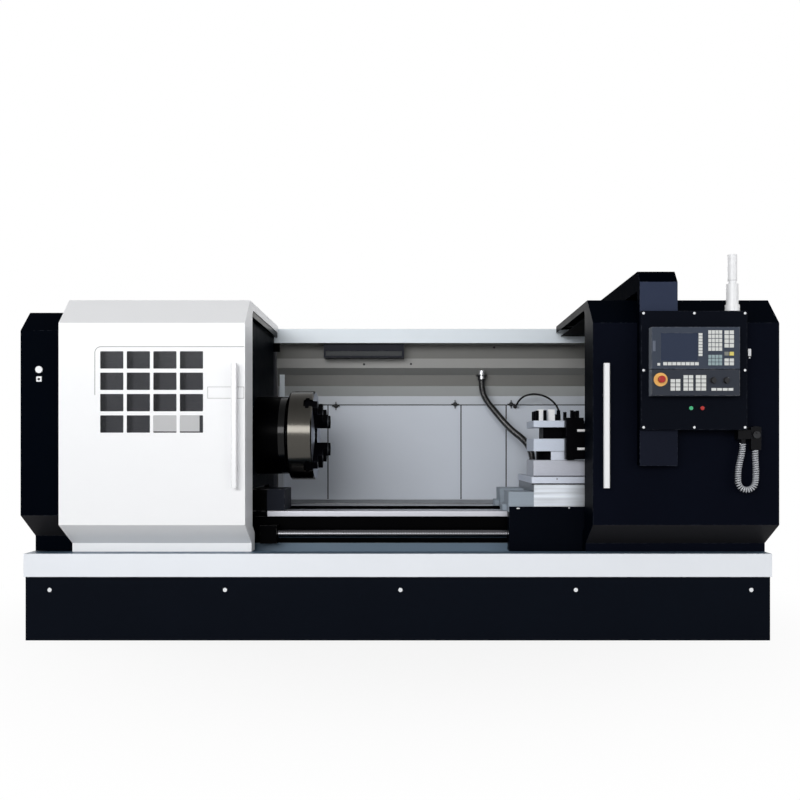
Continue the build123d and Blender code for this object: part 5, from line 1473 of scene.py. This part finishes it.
@dataclass
class Studio:
    """The pale floor, the lights and the camera.

    Attributes:
        camera_place: Where the camera stands, level and facing along Y.
        lens: Its focal length, in millimetres.
        sensor: The width of its sensor, in millimetres.
        shift: The shift of its lens, as shares of the picture.
        sky: The strength of the surround as a light.
        zenith: The share of it that is left overhead.
        horizon: The height from which it fades.
        lamps: The soft lights.
        target: What they face.
        floor_size: Half the floor's width.
        floor_tone: How much light the floor gives back.
        shadow_span: The distances between which its shadow fades.
        shadow_share: How white it is seen under the machine.
    """

    camera_place: Point = (0.070, -5.850, 1.096)
    lens: float = 39.96
    sensor: float = 36.0
    shift: Spot = (-0.0125, 0.0625)
    sky: float = 0.50
    zenith: float = 0.4
    horizon: float = 0.15
    lamps: tuple[Lamp, ...] = (Lamp("front_key", (-5.0, -15.5, 5.4), (12.0, 5.0), 1270.0),
                               Lamp("rear_fill", (-4.0, 14.0, 5.0), (12.0, 5.0), 420.0),
                               Lamp("right_fill", (9.0, -9.0, 3.0), (5.0, 4.0), 150.0))
    target: Point = (0.0, 0.0, 1.1)
    floor_size: float = 30.0
    floor_tone: float = 0.9
    shadow_span: Spot = (1.0, 3.4)
    shadow_share: float = 0.86

    def build(self) -> None:
        """Sets the stage."""
        scene = bpy.context.scene
        scene.view_settings.view_transform = "Standard"
        self._world(scene)
        self._floor()
        for lamp in self.lamps:
            lamp.hang(self.target)
        data = bpy.data.cameras.new("camera")
        data.lens = self.lens
        data.sensor_width = self.sensor
        data.shift_x, data.shift_y = self.shift
        camera = bpy.data.objects.new("camera", data)
        camera.location = self.camera_place
        camera.rotation_euler = (math.radians(90), 0, 0)
        scene.collection.objects.link(camera)
        scene.camera = camera

    def _world(self, scene: bpy.types.Scene) -> None:
        """Makes the surround white to look at and dimmer as a light.

        Args:
            scene: The scene that gets it.
        """
        world = bpy.data.worlds.new("surround")
        graph = Graph(world)
        up = graph.axes(graph.node("ShaderNodeTexCoord", output="Generated"))[2]
        fade = graph.ease(up, (self.horizon, 1.0), (1.0, self.zenith), "LINEAR")
        light = fade * (self.sky + graph.seen("Glossy") * (1 - self.sky))
        white = graph.seen("Camera", "Transmission")
        back = graph.node("ShaderNodeBackground", inputs={"Color": (1.0, 1.0, 1.0),
                                                          "Strength": white + (1 - white) * light})
        graph.node("ShaderNodeOutputWorld", inputs={"Surface": back})
        scene.world = world

    def _floor(self) -> None:
        """Lays the pale floor, which keeps a faint shadow."""
        work = bmesh.new()
        bmesh.ops.create_grid(work, x_segments=1, y_segments=1, size=self.floor_size)
        mesh = bpy.data.meshes.new("floor")
        work.to_mesh(mesh)
        work.free()
        material = bpy.data.materials.new("floor_pale")
        graph = Graph(material)
        rays = graph.seen("Camera", "Glossy", "Transmission")
        matt = graph.node("ShaderNodeBsdfDiffuse", inputs={"Color": (self.floor_tone,) * 3})
        pale = graph.node("ShaderNodeEmission", inputs={"Color": (1.0, 1.0, 1.0), "Strength": 1.0})
        reach = graph.node("ShaderNodeVectorMath", {"operation": "LENGTH"}, {0: graph.place()},
                           output="Value")
        far = graph.ease(reach, self.shadow_span, (self.shadow_share, 1.0))
        shown = graph.node("ShaderNodeMixShader", inputs={0: rays * far, 1: matt, 2: pale})
        graph.node("ShaderNodeOutputMaterial", inputs={"Surface": shown})
        mesh.materials.append(material)
        floor = bpy.data.objects.new("floor", mesh)
        bpy.context.scene.collection.objects.link(floor)


def main() -> None:
    """Builds every sub-assembly in order, then the studio."""
    logging.basicConfig(level=logging.INFO, format="%(message)s")
    shop = Shop()
    for part in (Base(), Enclosure(), Headstock(), Carriage(), Tailstock(), ControlStation(), Cabinet(),
                 Lines()):
        log.info("building %s", type(part).__name__)
        part.build(shop)
    Studio().build()


if __name__ == "__main__":
    main()
